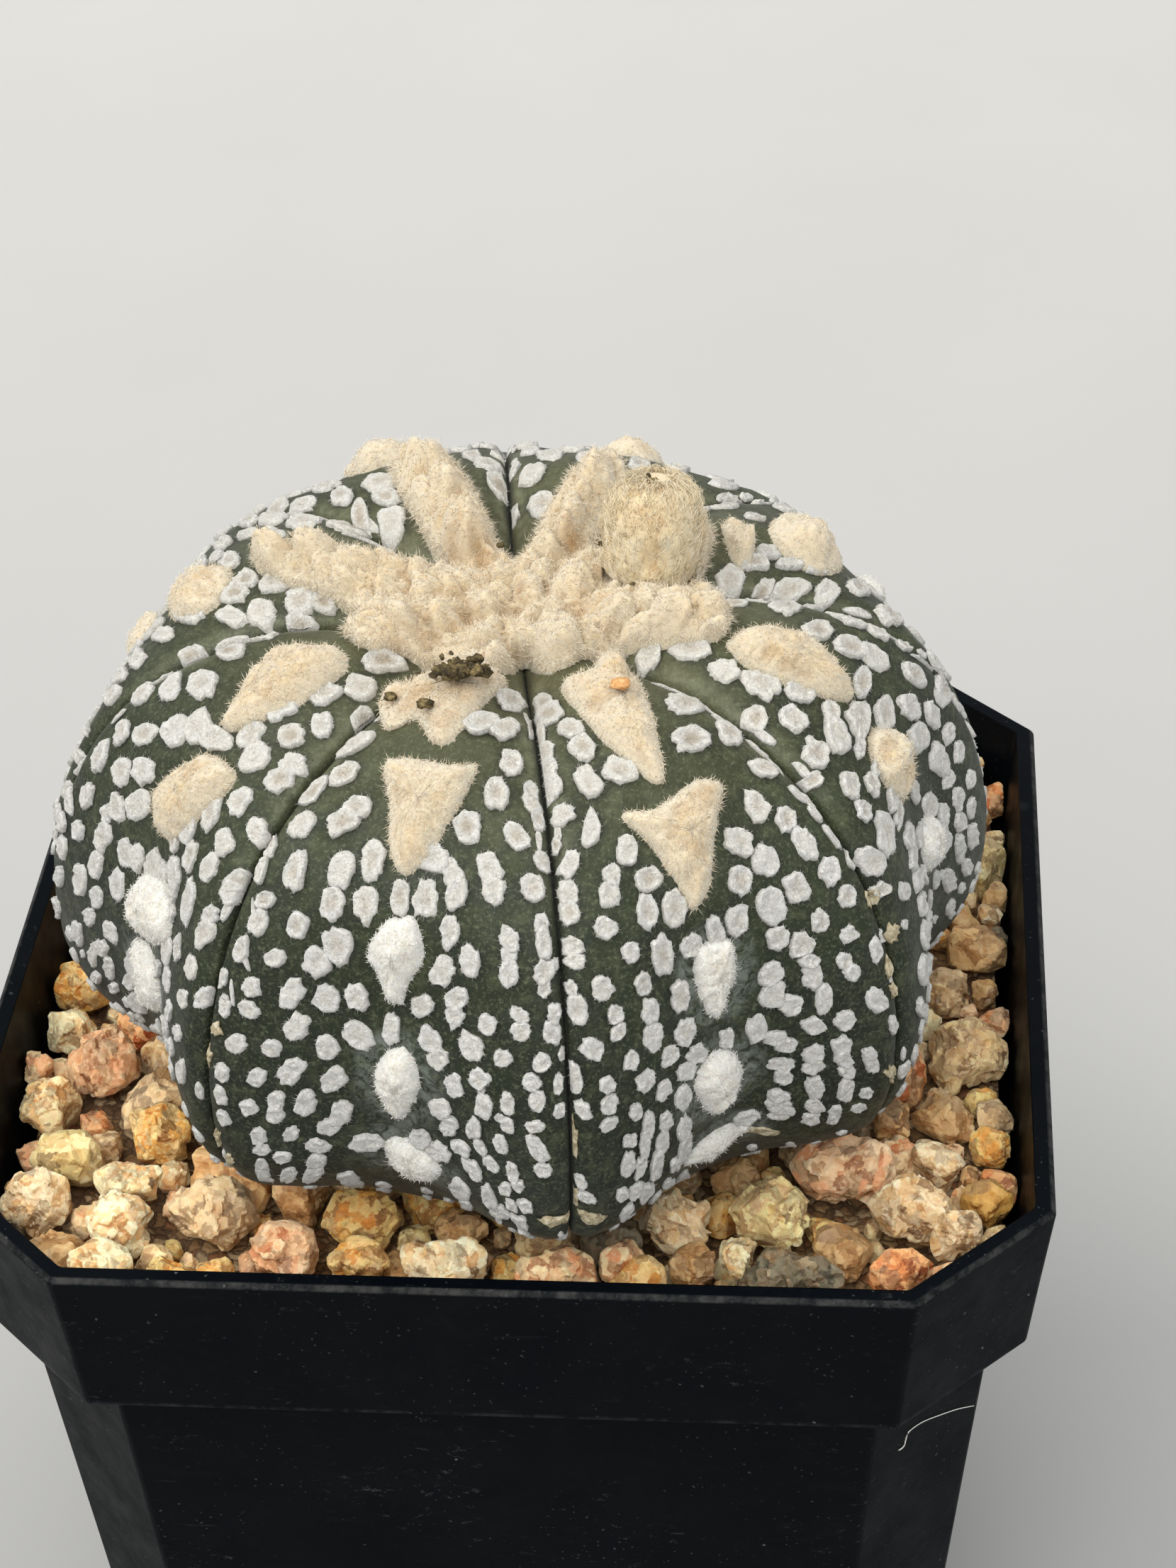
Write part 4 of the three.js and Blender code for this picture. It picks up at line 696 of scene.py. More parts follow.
TUFTS = {
    "wool_front_left_1": [1.4, [233.6, 64.9, 233.4, 67, 233.8, 70, 236.5, 72.5, 243, 74, 252, 74.6, 260, 74.6, 267, 74, 271.5, 72.6, 269.5, 71.2, 266.3, 69, 263.5, 65, 262, 62.1, 260.3, 59.9,
                               258.4, 58.8, 255.6, 59.4, 252.3, 61.6, 249.2, 62.8, 246.8, 60.6, 243.9, 59.8, 238.9, 62.2]],
    "wool_front_left_2": [1.5, [248, 55, 252, 56, 258, 56, 262, 56, 267, 57, 266, 54, 264, 50, 261, 44, 258, 41, 255, 44, 253, 50]],
    "wool_front_left_3": [1.6, [257, 35, 260, 36, 261.5, 34, 262, 31, 260, 27, 259.5, 23.5, 257.5, 23.5, 256.5, 27, 254.5, 30, 255.5, 33]],
    "wool_front_left_4": [1.6, [257.5, 13, 259.5, 15, 261.5, 13, 262, 8, 260.5, 2, 259, -2, 257, 2, 256, 8]],
    "wool_front_left_5": [1.1, [256.5, -10, 260, -8, 264, -11, 263, -18, 259, -21, 257, -17]],
    "wool_front_right_1": [1.5, [291, 69.6, 293.8, 71.2, 302, 70.4, 306.8, 70.9, 311, 72.6, 316.5, 72.3, 317.5, 70.3, 315.5, 68.1, 312, 64.8, 307.8, 61, 305.1, 57.3, 303.2, 53.5, 301.8, 51.2, 299.3, 52.5,
                                297, 55.8, 294.2, 59.3, 292.2, 65.5]],
    "wool_front_right_2": [1.6, [292, 49, 298, 48, 303, 49, 308, 50, 312, 48, 308, 45, 305, 41, 302, 36, 299, 34, 298, 39, 296, 44]],
    "wool_front_right_3": [1.7, [299, 28.5, 301.5, 29, 304, 28, 304, 23, 302, 19, 300.5, 16, 299, 19, 298, 25]],
    "wool_front_right_4": [1.6, [298, 8, 300, 9, 302, 8, 304, 1, 302, -4, 300, -6, 298, -3, 296.5, 4]],
    "wool_front_right_5": [1.0, [306, -14, 302, -13, 297, -14, 296, -18, 301, -23, 305, -18]],
    "wool_left_1": [1.7, [217, 66, 222, 64, 224, 60, 221, 54, 217, 49, 214, 48, 211, 53, 206, 57, 204, 60, 209, 63]],
    "wool_left_2": [1.8, [215, 44, 219, 45, 224, 45, 224, 42, 222, 37, 219, 32, 215, 31, 212, 34, 212, 39]],
    "wool_left_3": [1.7, [214, 23, 219, 25, 223, 23, 224, 18, 219, 13, 213, 11, 211.5, 17]],
    "wool_left_4": [1.4, [213, 8, 217, 10, 221, 7, 221, 0, 217, -6, 213, -2]],
    "wool_back_left_2": [2.0, [169, 52, 174, 53, 180, 51, 180, 47, 176, 43, 170, 42, 167, 46]],
    "wool_back_left_3": [1.8, [162, 31, 166, 33, 171, 31, 170, 25, 166, 20, 162, 25]],
    "wool_back_2": [1.6, [114, 50, 120, 52, 126, 50, 127, 44, 120, 40, 113, 44]],
    "wool_back_3": [1.7, [115, 30, 119, 32, 124, 30, 123, 24, 119, 19, 116, 24]],
    "wool_back_right_2": [1.6, [69, 47, 74, 49, 79, 47, 79, 41, 74, 37, 69, 41]],
    "wool_back_right_3": [1.7, [70, 30, 74, 32, 78, 30, 77, 24, 74, 19, 71, 24]],
    "wool_right_back_2": [1.7, [17, 61, 24, 62, 32, 61, 33, 59, 25, 58, 18, 59]],
    "wool_right_back_3": [2.0, [23, 54, 30, 54, 36, 50, 37, 45, 30, 42, 22, 45, 19, 50]],
    "wool_right_back_4": [1.8, [27, 31, 31, 33, 35, 31, 34, 25, 31, 20, 28, 25]],
    "wool_right_1": [1.8, [346, 61, 350, 58, 353, 54, 350, 48, 346, 44, 342, 48, 338, 54, 337, 59, 341, 62]],
    "wool_right_2": [1.8, [340, 39, 344, 40, 348, 37, 348, 32, 344, 29, 340, 30, 338, 35]],
    "wool_right_3": [1.6, [343, 19, 347, 21, 351, 18, 351, 13, 347, 10, 344, 13]],
}
# Balls of felt in the crown, and the hollows between them, sunk and painted tan as shade: azimuth, latitude, radius,
# and height, or depth and strength of the painted shade.
BALLS = "212.9,74.7,1.35,1.30 219.5,79.2,1.25,1.10 181.7,78.5,1.30,0.90 214.4,85.4,1.40,1.35 153.7,83.4,1.50,0.60 51.0,87.8,1.40,1.10 15.6,82.6,1.60,1.40 337.8,76.2,1.50,1.30 284.0,79.3,1.80,1.50 298.7,77.1,1.70,1.45 255.8,78.3,1.30,1.00 318.6,76.0,1.20,0.80 267.5,75.6,1.10,0.80 56.5,84.2,0.90,1.00 172.0,59.4,1.50,1.30 169.2,64.9,1.50,1.30 172.9,70.3,1.20,0.90 117.2,64.6,1.40,1.20 117.2,68.1,1.40,0.90 122.4,76.5,2.10,1.75 67.5,73.7,1.20,1.00 69.9,81.0,1.00,1.10 64.3,76.5,1.10,0.80 69.5,66.8,1.60,1.40 341.7,69.9,1.50,1.20 346.8,65.4,1.10,1.00 340.4,63.9,1.00,0.90 333.9,72.5,1.20,0.80"
HOLLOWS = "265.9,86.4,0.75,1.00 78.1,89.0,0.50,0.70 222.0,81.9,0.60,0.70 337.0,81.1,0.70,0.80 137.3,77.7,0.80,0.70 124.8,81.0,0.80,0.75 271.4,77.8,0.40,0.80 216.8,76.3,0.50,0.60 222.3,71.4,0.70,0.55 226.8,74.7,0.70,0.50 61.0,77.5,0.80,0.80 116.7,71.8,0.50,0.90 5.2,71.0,0.80,0.60 149.8,83.4,0.60,0.50 324.2,75.7,0.60,0.50"
TUFT_BALLS = {
    "wool_right_back_2": [(22.0, 61.0, 1.3, 1.2)], "wool_front_right_1": [(309.0, 69.4, 1.5, 1.0)], "wool_right_back_3": [(24.5, 50.5, 1.8, 0.9)],
    "wool_back_2": [(121, 48, 2.0, 0.8)], "wool_front_left_1": [(237.5, 65.8, 1.0, 0.6), (245.0, 67.5, 1.3, 0.7), (263.0, 67.5, 1.2, 0.5), (252.0, 72.5, 1.6, 0.6), (267.5, 71.5, 1.2, 0.6)],
}
FILMED = ["wool_front_left_4", "wool_front_left_5", "wool_front_right_3", "wool_front_right_4", "wool_front_right_5", "wool_left_4"]
ARMS = [
    (9, 66), (20, 65), (31, 63), (40, 66), (49, 75), (56, 74), (59.5, 67), (62.5, 63), (66, 61), (71, 60.5), (76, 61.5), (79.5, 66), (85, 77), (97, 82), (104, 78), (108, 67),
    (110.5, 60), (114, 56.5), (119, 55.5), (124, 57), (127.5, 61), (131, 68), (137, 75), (143, 79), (160, 74), (164, 63), (167, 56), (172, 56), (178, 60), (182, 66),
    (191, 70), (206, 67.5), (214, 67.5), (219, 68), (223, 71), (235, 74), (250, 74), (262, 73.5), (271, 75), (277, 78), (283, 78), (289, 75), (296, 73.5), (303, 73.5), (316, 73),
    (330, 73), (337, 66), (341, 62.5), (349, 63), (355, 65),
]
WHITE_TUFTS = {"wool_front_left_3", "wool_front_left_4", "wool_front_left_5", "wool_front_right_3", "wool_front_right_4", "wool_front_right_5",
               "wool_left_3", "wool_left_4", "wool_back_left_3", "wool_back_3", "wool_back_right_3", "wool_right_back_3", "wool_right_back_4", "wool_right_3"}

CREAMY = {"wool_right_back_3", "wool_back_left_3", "wool_back_3", "wool_back_right_3"}

# Large grit stones, one to a CAD node: kind, centre and half sizes.
STONES = [
    ("ochre", -38.2, -0.3, 74.1, 3.2, 2.9, 2.9), ("cream", -37.9, -6.25, 74.1, 2.5, 2.4, 2.4), ("pink", -33.8, -10.9, 74.5, 3.5, 3.5, 3.5),
    ("cream", -37.4, -16.5, 74.6, 3.0, 2.9, 2.9), ("ochre", -28.0, -19.1, 74.4, 3.3, 3.1, 3.1), ("olive", -34.5, -22.9, 74.8, 3.7, 2.7, 2.7),
    ("cream", -36.2, -28.6, 75.2, 3.2, 3.2, 3.2), ("cream", -29.2, -30.8, 75.6, 3.1, 2.9, 2.9), ("grey", -22.0, -29.5, 75.7, 3.9, 3.3, 3.3),
    ("cream", -29.6, -36.2, 76.0, 3.2, 2.5, 2.4), ("pink", -15.9, -34.0, 75.8, 3.2, 2.9, 2.7), ("ochre", -10.6, -29.4, 75.6, 3.6, 2.5, 2.4),
    ("cream", -3.2, -35.0, 76.0, 4.2, 2.7, 2.5), ("pink", 4.9, -35.9, 76.3, 3.9, 2.5, 2.2), ("cream", 13.9, -29.4, 75.9, 3.2, 3.1, 3.0),
    ("grey", 21.2, -28.2, 76.3, 3.6, 3.2, 3.2), ("pink", 26.3, -22.9, 76.3, 4.9, 3.2, 3.2), ("dark", 22.6, -35.2, 75.6, 4.8, 2.9, 2.9),
    ("cream", 31.9, -27.0, 75.8, 4.0, 3.2, 3.2), ("orange", 30.9, -34.8, 75.9, 3.3, 2.4, 2.4), ("olive", 37.6, -25.4, 75.2, 2.4, 1.9, 1.9),
    ("grey", 36.4, -6.3, 73.3, 4.2, 4.4, 4.2), ("tan", 34.4, -14.2, 73.6, 3.0, 2.4, 2.4), ("ochre", 38.0, -18.3, 74.7, 2.1, 1.8, 1.8),
    ("olive", 38.6, 19.6, 73.4, 1.7, 4.6, 3.8), ("tan", 36.9, 7.8, 73.9, 3.4, 2.4, 2.1), ("ochre", 11.4, -36.0, 75.7, 2.4, 2.2, 2.1),
]
# Smaller stones that show between them.
SMALL_SEEN = [
    ("pink", -39.6, -12.2, 75.0, 1.8, 1.5, 1.5), ("orange", -34.1, -17.0, 73.1, 1.7, 1.4, 1.4), ("cream", -29.4, -26.1, 75.3, 3.2, 1.7, 1.7),
    ("ochre", -10.2, -35.2, 76.1, 3.1, 1.9, 1.9), ("pink", 10.0, -34.8, 76.0, 2.2, 2.0, 2.0), ("tan", 15.4, -34.7, 75.6, 2.2, 1.9, 1.9),
    ("cream", 18.8, -34.0, 76.1, 1.9, 1.9, 1.9), ("cream", 35.2, -29.7, 75.9, 2.6, 1.7, 1.7), ("tan", 30.1, -14.6, 73.8, 2.0, 1.7, 1.7),
    ("cream", 33.9, -21.2, 75.3, 3.1, 1.7, 1.7), ("orange", 39.2, 30.3, 73.1, 1.6, 1.9, 1.9), ("grey", 34.4, 2.9, 72.6, 2.7, 2.4, 2.4),
    ("tan", -3.0, -28.4, 73.3, 2.5, 1.7, 1.7), ("tan", 18.2, -22.0, 73.6, 2.2, 2.0, 2.0),
]
BED_TOP = 71.9


def parse(text):
    return np.array([[float(x) for x in row.split(",")] for row in text.split()])


def bed_height(x, y):
    return BED_TOP + 3.2 * smooth(y, 27, 33)


def inner_half(z):
    return 40.85 + 1.65 * (np.asarray(z, float) - 65.6) / 14.4 - 1.55


# ------------------------------------------------------------------ flecks of felt
def hidden_flecks():
    """Flecks for the sides that the photograph doesn't show, by the same habit: larger and rounder above, small and in
    chains below, none in a band on each flank of the lower creases."""
    rng = np.random.default_rng(11)
    seen = parse(FLECKS_SEEN)
    out = []
    P_seen = skin(seen[:, 0], seen[:, 1], 0, False)
    r_seen = np.sqrt(seen[:, 2] * seen[:, 3])
    pts, rad = list(P_seen), list(r_seen)
    fixed = len(pts)
    reach = dict(ARMS)
    arm_az = np.array(sorted(reach))
    arm_la = np.array([reach[a] for a in arm_az])
    tuft_pts = []
    for name, (_, flat) in TUFTS.items():
        q = np.array(flat, float).reshape(-1, 2)
        m = q.mean(0)
        for f in (1.0, 0.5, 0.0):
            tuft_pts.append(skin(*(m + (q - m) * f).T, 0, False))
    tuft_pts = np.concatenate(tuft_pts)
    cam = np.array([27.64, -241.68, 266.94])
    tries = 0
    while tries < 16000 and len(out) < 730:
        tries += 1
        az, u = rng.uniform(0, 360), rng.uniform(-0.6, 0.985)
        lat = math.degrees(math.asin(u))
        P, _, _, n, ra, rl = skin_frame(az, lat)
        view = (cam - P) / np.linalg.norm(cam - P)
        facing = float(n @ view)
        if facing > 0.30:
            continue
        if facing > 0.05 and rng.random() < 0.35:
            continue
        if lat > np.interp(az, arm_az, arm_la, period=360) - 2.5:
            continue
        cm = abs(float(crease_mm(az, lat)))
        row = abs(float(nearest_line(az, AREOLE_ROWS))) * ra
        low = smooth(lat, 42, 5)
        if cm > 0.5 and cm < 3.2 and low > 0.5 and rng.random() < 0.75:
            continue
        if row < 1.0 and lat < 60 and rng.random() < 0.8:
            continue
        a = rng.uniform(0.95, 1.5) * (1 - 0.35 * float(low))
        b = a * rng.uniform(0.58, 0.9)
        if lat < -8:
            a, b = a * 0.85, b * 0.8
        r = math.sqrt(a * b)
        d = np.linalg.norm(np.array(pts) - P, axis=1)
        if (d < (np.array(rad) + r) * 1.03 + 0.12).any():
            continue
        if (np.linalg.norm(tuft_pts - P, axis=1) < r + 1.0).any():
            continue
        ang = 90 + rng.normal(0, 14) + 10 * np.sign(float(nearest_line(az, AREOLE_ROWS)))
        out.append((az, lat, a, b, ang))
        pts.append(P)
        rad.append(r)
    return np.array(out)


def crease_slivers():
    """Half-hidden slivers that crowd along both lips of each crease on the unseen sides, and a few on the seen ones."""
    rng = np.random.default_rng(23)
    out = []
    for k, c in enumerate(CREASES):
        seen = c > 180
        lat = 68.0
        while lat > -25:
            length = rng.uniform(0.5, 1.3)
            for side in (-1, 1):
                if rng.random() < (0.12 if seen else 0.5):
                    x = rng.uniform(0.55, 0.8) * side
                    az = c + math.degrees(x / (PLANT_A * math.cos(math.radians(lat))))
                    out.append((az, lat + rng.uniform(-1, 1), length, rng.uniform(0.22, 0.34), 90 + rng.normal(0, 4)))
            lat -= rng.uniform(3.0, 7.5)
    return np.array(out)


def sliver_rows():
    out = []
    for a0, l0, a1, l1, w in parse(SLIVERS):
        am, lm = (a0 + a1) / 2, (l0 + l1) / 2
        P, e1, e2, n, ra, rl = skin_frame(am, lm)
        dx, dy = (a1 - a0) * ra, (l1 - l0) * rl
        out.append((am, lm, math.hypot(dx, dy) / 2 * 1.05, w, math.degrees(math.atan2(dy, dx)) % 180))
    return np.array(out)


FLECK_RINGS = [(1.03, -0.16), (1.0, 0.28), (0.93, 0.84), (0.80, 1.05), (0.58, 1.0), (0.30, 0.98)]
PLAIN_RINGS = [(1.03, -0.16), (1.0, 0.30), (0.90, 0.94), (0.64, 1.03), (0.33, 0.98)]


def fleck_shape(T, seed, seg=20, hairs_each=24, height=(0.40, 0.29), dip=0.40, rough=1.0, tone=None, levels=FLECK_RINGS):
    rng = np.random.default_rng(seed)
    N = len(T)
    az, lat, a, b, ang = T.T
    P, e1, e2, nrm, ra, rl = skin_frame(az, lat)
    th = np.linspace(0, 2 * np.pi, seg, endpoint=False)[None] + rng.uniform(0, 6.28, (N, 1))
    p = rng.uniform(2.0, 2.75, (N, 1))
    r = (np.abs(np.cos(th)) ** p + np.abs(np.sin(th)) ** p) ** (-1 / p) * 0.96
    for k in range(2, 8):
        r = r * (1 + rough * rng.normal(0, 0.058 / (1 + 0.26 * (k - 2)), (N, 1)) * np.cos(k * th + rng.uniform(0, 6.28, (N, 1))))
    torn = r * (1 + rough * rng.normal(0, 0.066, (N, seg)))
    up = smooth(lat, -20, 70)[:, None]
    h = (height[1] + (height[0] - height[1]) * up) * np.minimum(1.0, np.sqrt(a * b)[:, None] / 0.6) * rng.uniform(0.85, 1.2, (N, 1))
    sunk = rng.uniform(0, 1, (N, 1)) * dip * (0.3 + 1.2 * up)
    ca, sa = np.cos(np.radians(ang))[:, None], np.sin(np.radians(ang))[:, None]
    cr0 = nearest_line(az, CREASES)[:, None]
    rows, rads = [], []
    for f, z in levels:
        here = torn if f > 0.95 else (r + torn) / 2 if f > 0.85 else r
        x0, y0 = a[:, None] * f * here * np.cos(th), b[:, None] * f * here * np.sin(th)
        x, y = x0 * ca - y0 * sa, x0 * sa + y0 * ca
        A, L = az[:, None] + x / ra[:, None], lat[:, None] + y / rl[:, None]
        # a fleck beside a crease stops at its lip
        cr = nearest_line(A, CREASES)
        lim = np.degrees(0.13 / (PLANT_A * np.cos(np.radians(L))))
        same = np.abs(cr0) > np.degrees(0.10 / (PLANT_A * np.cos(np.radians(L))))
        crossed = same & (np.sign(cr0) != np.sign(cr)) & (np.abs(cr) < 8) | (same & (np.abs(cr) < lim))
        A = np.where(crossed, A - cr + np.sign(cr0) * lim, A)
        lift = z * h - (sunk * h) * max(0.0, (0.8 - f) / 0.8) ** 0.6 * (f < 0.8)
        if f < 0.95:
            where = np.stack([x + az[:, None] * 7, y + lat[:, None] * 5, np.full_like(x, seed)], -1)
            lift = lift + (0.13 * vnoise(where, 0.36, seed) + 0.06 * vnoise(where, 0.17, seed + 1) + rng.normal(0, 0.012, lift.shape)) * np.minimum(1, h / 0.2)
        rows.append(skin(A, L, lift))
        rads.append(np.full((N, seg), f))
    top = skin(az, lat, (0.97 * h - sunk * h)[:, 0])
    V = np.concatenate([np.stack(rows, 1).reshape(N, -1, 3), top[:, None]], 1)
    m = V.shape[1]
    R = len(levels)
    q = ring_faces(R, seg)[:, ::1]
    j = (np.arange(seg) + 1) % seg
    tri = np.stack([(R - 1) * seg + np.arange(seg), (R - 1) * seg + j, np.full(seg, m - 1)], -1)
    off = (np.arange(N) * m)[:, None, None]
    s = Shape()
    rim = np.concatenate([np.stack(rads, 1).reshape(N, -1), np.zeros((N, 1))], 1)
    tn = (rng.uniform(0.0, 1.0, N) * 0.45 + 0.55 * smooth(lat, 5, 62)) if tone is None else tone
    tn = np.repeat(np.clip(tn, 0, 1)[:, None], m, 1)
    # painted shade in each fleck's middle, deeper the more it is sunk
    hol = smooth(rim, 0.72, 0.15) * (sunk + 0.10) * 1.5 * (0.3 + 0.7 * up)
    bottom = np.arange(seg)[::-1]
    s.add(V, [(q[None] + off).reshape(-1, 4), (tri[None] + off).reshape(-1, 3), (bottom[None, None] + off).reshape(-1, seg)],
          tone=tn, hollow=np.clip(hol, 0, 1))
    if hairs_each:
        k = rng.integers(0, seg, (N, hairs_each))
        g = rng.uniform(0, 1, (N, hairs_each))
        i0 = np.take_along_axis(rows[1], k[..., None], 1)
        i1 = np.take_along_axis(rows[1], ((k + 1) % seg)[..., None], 1)
        root = i0 + (i1 - i0) * g[..., None]
        inner = np.take_along_axis(rows[3], k[..., None], 1)
        root = root * 0.8 + inner * 0.2
        out = unit(root - top[:, None]) + rng.normal(0, 0.45, root.shape) + nrm[:, None] * 0.15
        out = unit(out - nrm[:, None] * np.minimum(0, (out * nrm[:, None]).sum(-1, keepdims=True)))
        ln = rng.uniform(0.12, 0.36, (N, hairs_each, 1)) * np.minimum(1.2, np.sqrt(a * b))[:, None, None]
        path = np.stack([root, root + out * ln], 2).reshape(-1, 2, 3)
        HV, HF, hm = hairs(path, 0.03, seed + 1)
        s.add(HV, HF, tone=np.repeat(tn[:, 0], hairs_each * hm), hollow=0.0)
        # short fibres that stand up from the felt
        tops = max(2, hairs_each // 3)
        lev = rng.integers(2, R, (N, tops))
        k = rng.integers(0, seg, (N, tops))
        body = np.stack(rows, 1)
        root = body[np.arange(N)[:, None], lev, k]
        d = unit(nrm[:, None] * 0.7 + rng.normal(0, 0.6, root.shape))
        path = np.stack([root - nrm[:, None] * 0.03, root + d * rng.uniform(0.08, 0.2, (N, tops, 1))], 2).reshape(-1, 2, 3)
        HV, HF, hm = hairs(path, 0.028, seed + 2)
        s.add(HV, HF, tone=np.repeat(tn[:, 0], tops * hm), hollow=0.0)
    return s


# ------------------------------------------------------------------ skin
def skin_shape(T):
    fine = np.array([0.1, 0.24, 0.4, 0.6, 0.85, 1.15, 1.6, 2.15, 2.8])
    cols = []
    for c in CREASES:
        cols += [c] + [c + f for f in fine] + [c - f for f in fine]
    base = np.arange(0, 360, 1.9)
    keep = np.abs(nearest_line(base, CREASES)) > 3.4
    cols = np.sort(np.mod(np.concatenate([cols, base[keep]]), 360))
    lats = np.concatenate([np.arange(-66, -30, 2.2), np.arange(-30, 85.9, 1.15), [86.6, 88.4]])
    AZ, LA = np.meshgrid(cols, lats)
    P = skin(AZ, LA)
    d = 0.10 * fbm(P, 5.5, 3) + 0.035 * fbm(P, 1.3, 9)
    P = skin(AZ, LA, d * np.clip((lats[:, None] + 66) / 10, 0, 1))
    n, r = len(cols), len(lats)
    F = [ring_faces(r, n)]
    cm = np.abs(crease_mm(AZ, LA))
    # where the crease's groove is painted dark as shade
    groove = np.exp(-((cm / 0.11) ** 1.6)) * np.clip((84 - LA) / 6, 0, 1)
    lip = np.exp(-(((cm - 0.75) / 0.5) ** 2)) * smooth(LA, 25, 55)
    up = np.clip((LA + 25) / 105, 0, 1)
    # closeness to a fleck's edge, for the painted shade round each fleck
    Q = P.reshape(-1, 3)
    near = np.zeros(len(Q))
    C, e1, e2, nn, ra, rl = skin_frame(T[:, 0], T[:, 1])
    ca, sa = np.cos(np.radians(T[:, 4]))[:, None], np.sin(np.radians(T[:, 4]))[:, None]
    u, w = e1 * ca + e2 * sa, e2 * ca - e1 * sa
    cell = 4.0
    grid = {}
    for i, c in enumerate(C):
        grid.setdefault(tuple(np.floor(c / cell).astype(int)), []).append(i)
    key = np.floor(Q / cell).astype(int)
    order = np.lexsort(key.T)
    cuts = np.flatnonzero(np.any(np.diff(key[order], axis=0) != 0, axis=1)) + 1
    for block in np.split(order, cuts):
        k = key[block[0]]
        ids = [i for dx in (-1, 0, 1) for dy in (-1, 0, 1) for dz in (-1, 0, 1) for i in grid.get((k[0] + dx, k[1] + dy, k[2] + dz), ())]
        if not ids:
            continue
        D = Q[block][:, None] - C[ids][None]
        x, y = (D * u[ids]).sum(-1), (D * w[ids]).sum(-1)
        s = np.sqrt((x / T[ids, 2]) ** 2 + (y / T[ids, 3]) ** 2)
        gap = (s - 1) * np.sqrt(T[ids, 2] * T[ids, 3])
        near[block] = np.exp(-((np.maximum(gap, 0) / 0.38) ** 2)).max(1)
    film = np.zeros(len(Q))
    for name in FILMED:
        q = np.array(TUFTS[name][1], float).reshape(-1, 2)
        m = q.mean(0)
        P0, f1, f2, fn, fa, fl = skin_frame(m[0], m[1])
        half = (q - m).max(0) * [fa, fl]
        D = Q - P0
        near_tuft = np.abs(D @ fn) < 4
        film = np.maximum(film, near_tuft * smooth(np.sqrt((D @ f1 / (half[0] + 1.6)) ** 2 + (D @ f2 / (half[1] + 1.5)) ** 2), 1.12, 0.82))
    rowd = np.abs(nearest_line(AZ, AREOLE_ROWS)) * np.pi / 180 * PLANT_A * np.cos(np.radians(LA))
    V = [Q]
    # the taproot, which stays inside the pot
    root = [(-25.6, 8.5), (-29, 6.4), (-36, 5.2), (-46, 3.8), (-56, 2.2)]
    k = 0
    az = np.radians(cols)
    rings = []
    for z, rad in root:
        rr = rad * (1 + 0.06 * np.sin(3 * az + z) + 0.04 * np.sin(7 * az - z))
        rings.append(CENTRE + np.stack([rr * np.cos(az), rr * np.sin(az), np.full(n, float(z))], -1) @ BASIS)
    rings = rings[::-1]
    V = np.concatenate([np.concatenate(rings), Q, skin(0, 90)[None], (CENTRE + AXIS * -60)[None]])
    off = len(root) * n
    total = len(V)
    R = len(root) + r
    i = np.arange(n)
    j = (i + 1) % n
    F = [ring_faces(R, n), np.stack([(R - 1) * n + i, (R - 1) * n + j, np.full(n, total - 2)], -1), np.stack([j, i, np.full(n, total - 1)], -1)]

    def pad(x, top=0.0):
        return np.concatenate([np.zeros(off), x.ravel(), [top, 0.0]])

    s = Shape()
    s.add(V, F, up=pad(up, 1.0), groove=pad(groove), lip=pad(lip), near=pad(near), film=pad(film), row=pad(np.exp(-((rowd / 1.5) ** 2))))
    return s


# ------------------------------------------------------------------ wool
def smooth_outline(q, count, passes=2):
    for _ in range(passes):
        nxt = np.roll(q, -1, 0)
        q = np.stack([q * 0.8 + nxt * 0.2, q * 0.2 + nxt * 0.8], 1).reshape(-1, 2)
    c = np.vstack([q, q[:1]])
    s = np.concatenate([[0], np.cumsum(np.hypot(*np.diff(c, axis=0).T))])
    t = np.linspace(0, s[-1], count, endpoint=False)
    return np.stack([np.interp(t, s, c[:, 0]), np.interp(t, s, c[:, 1])], -1)


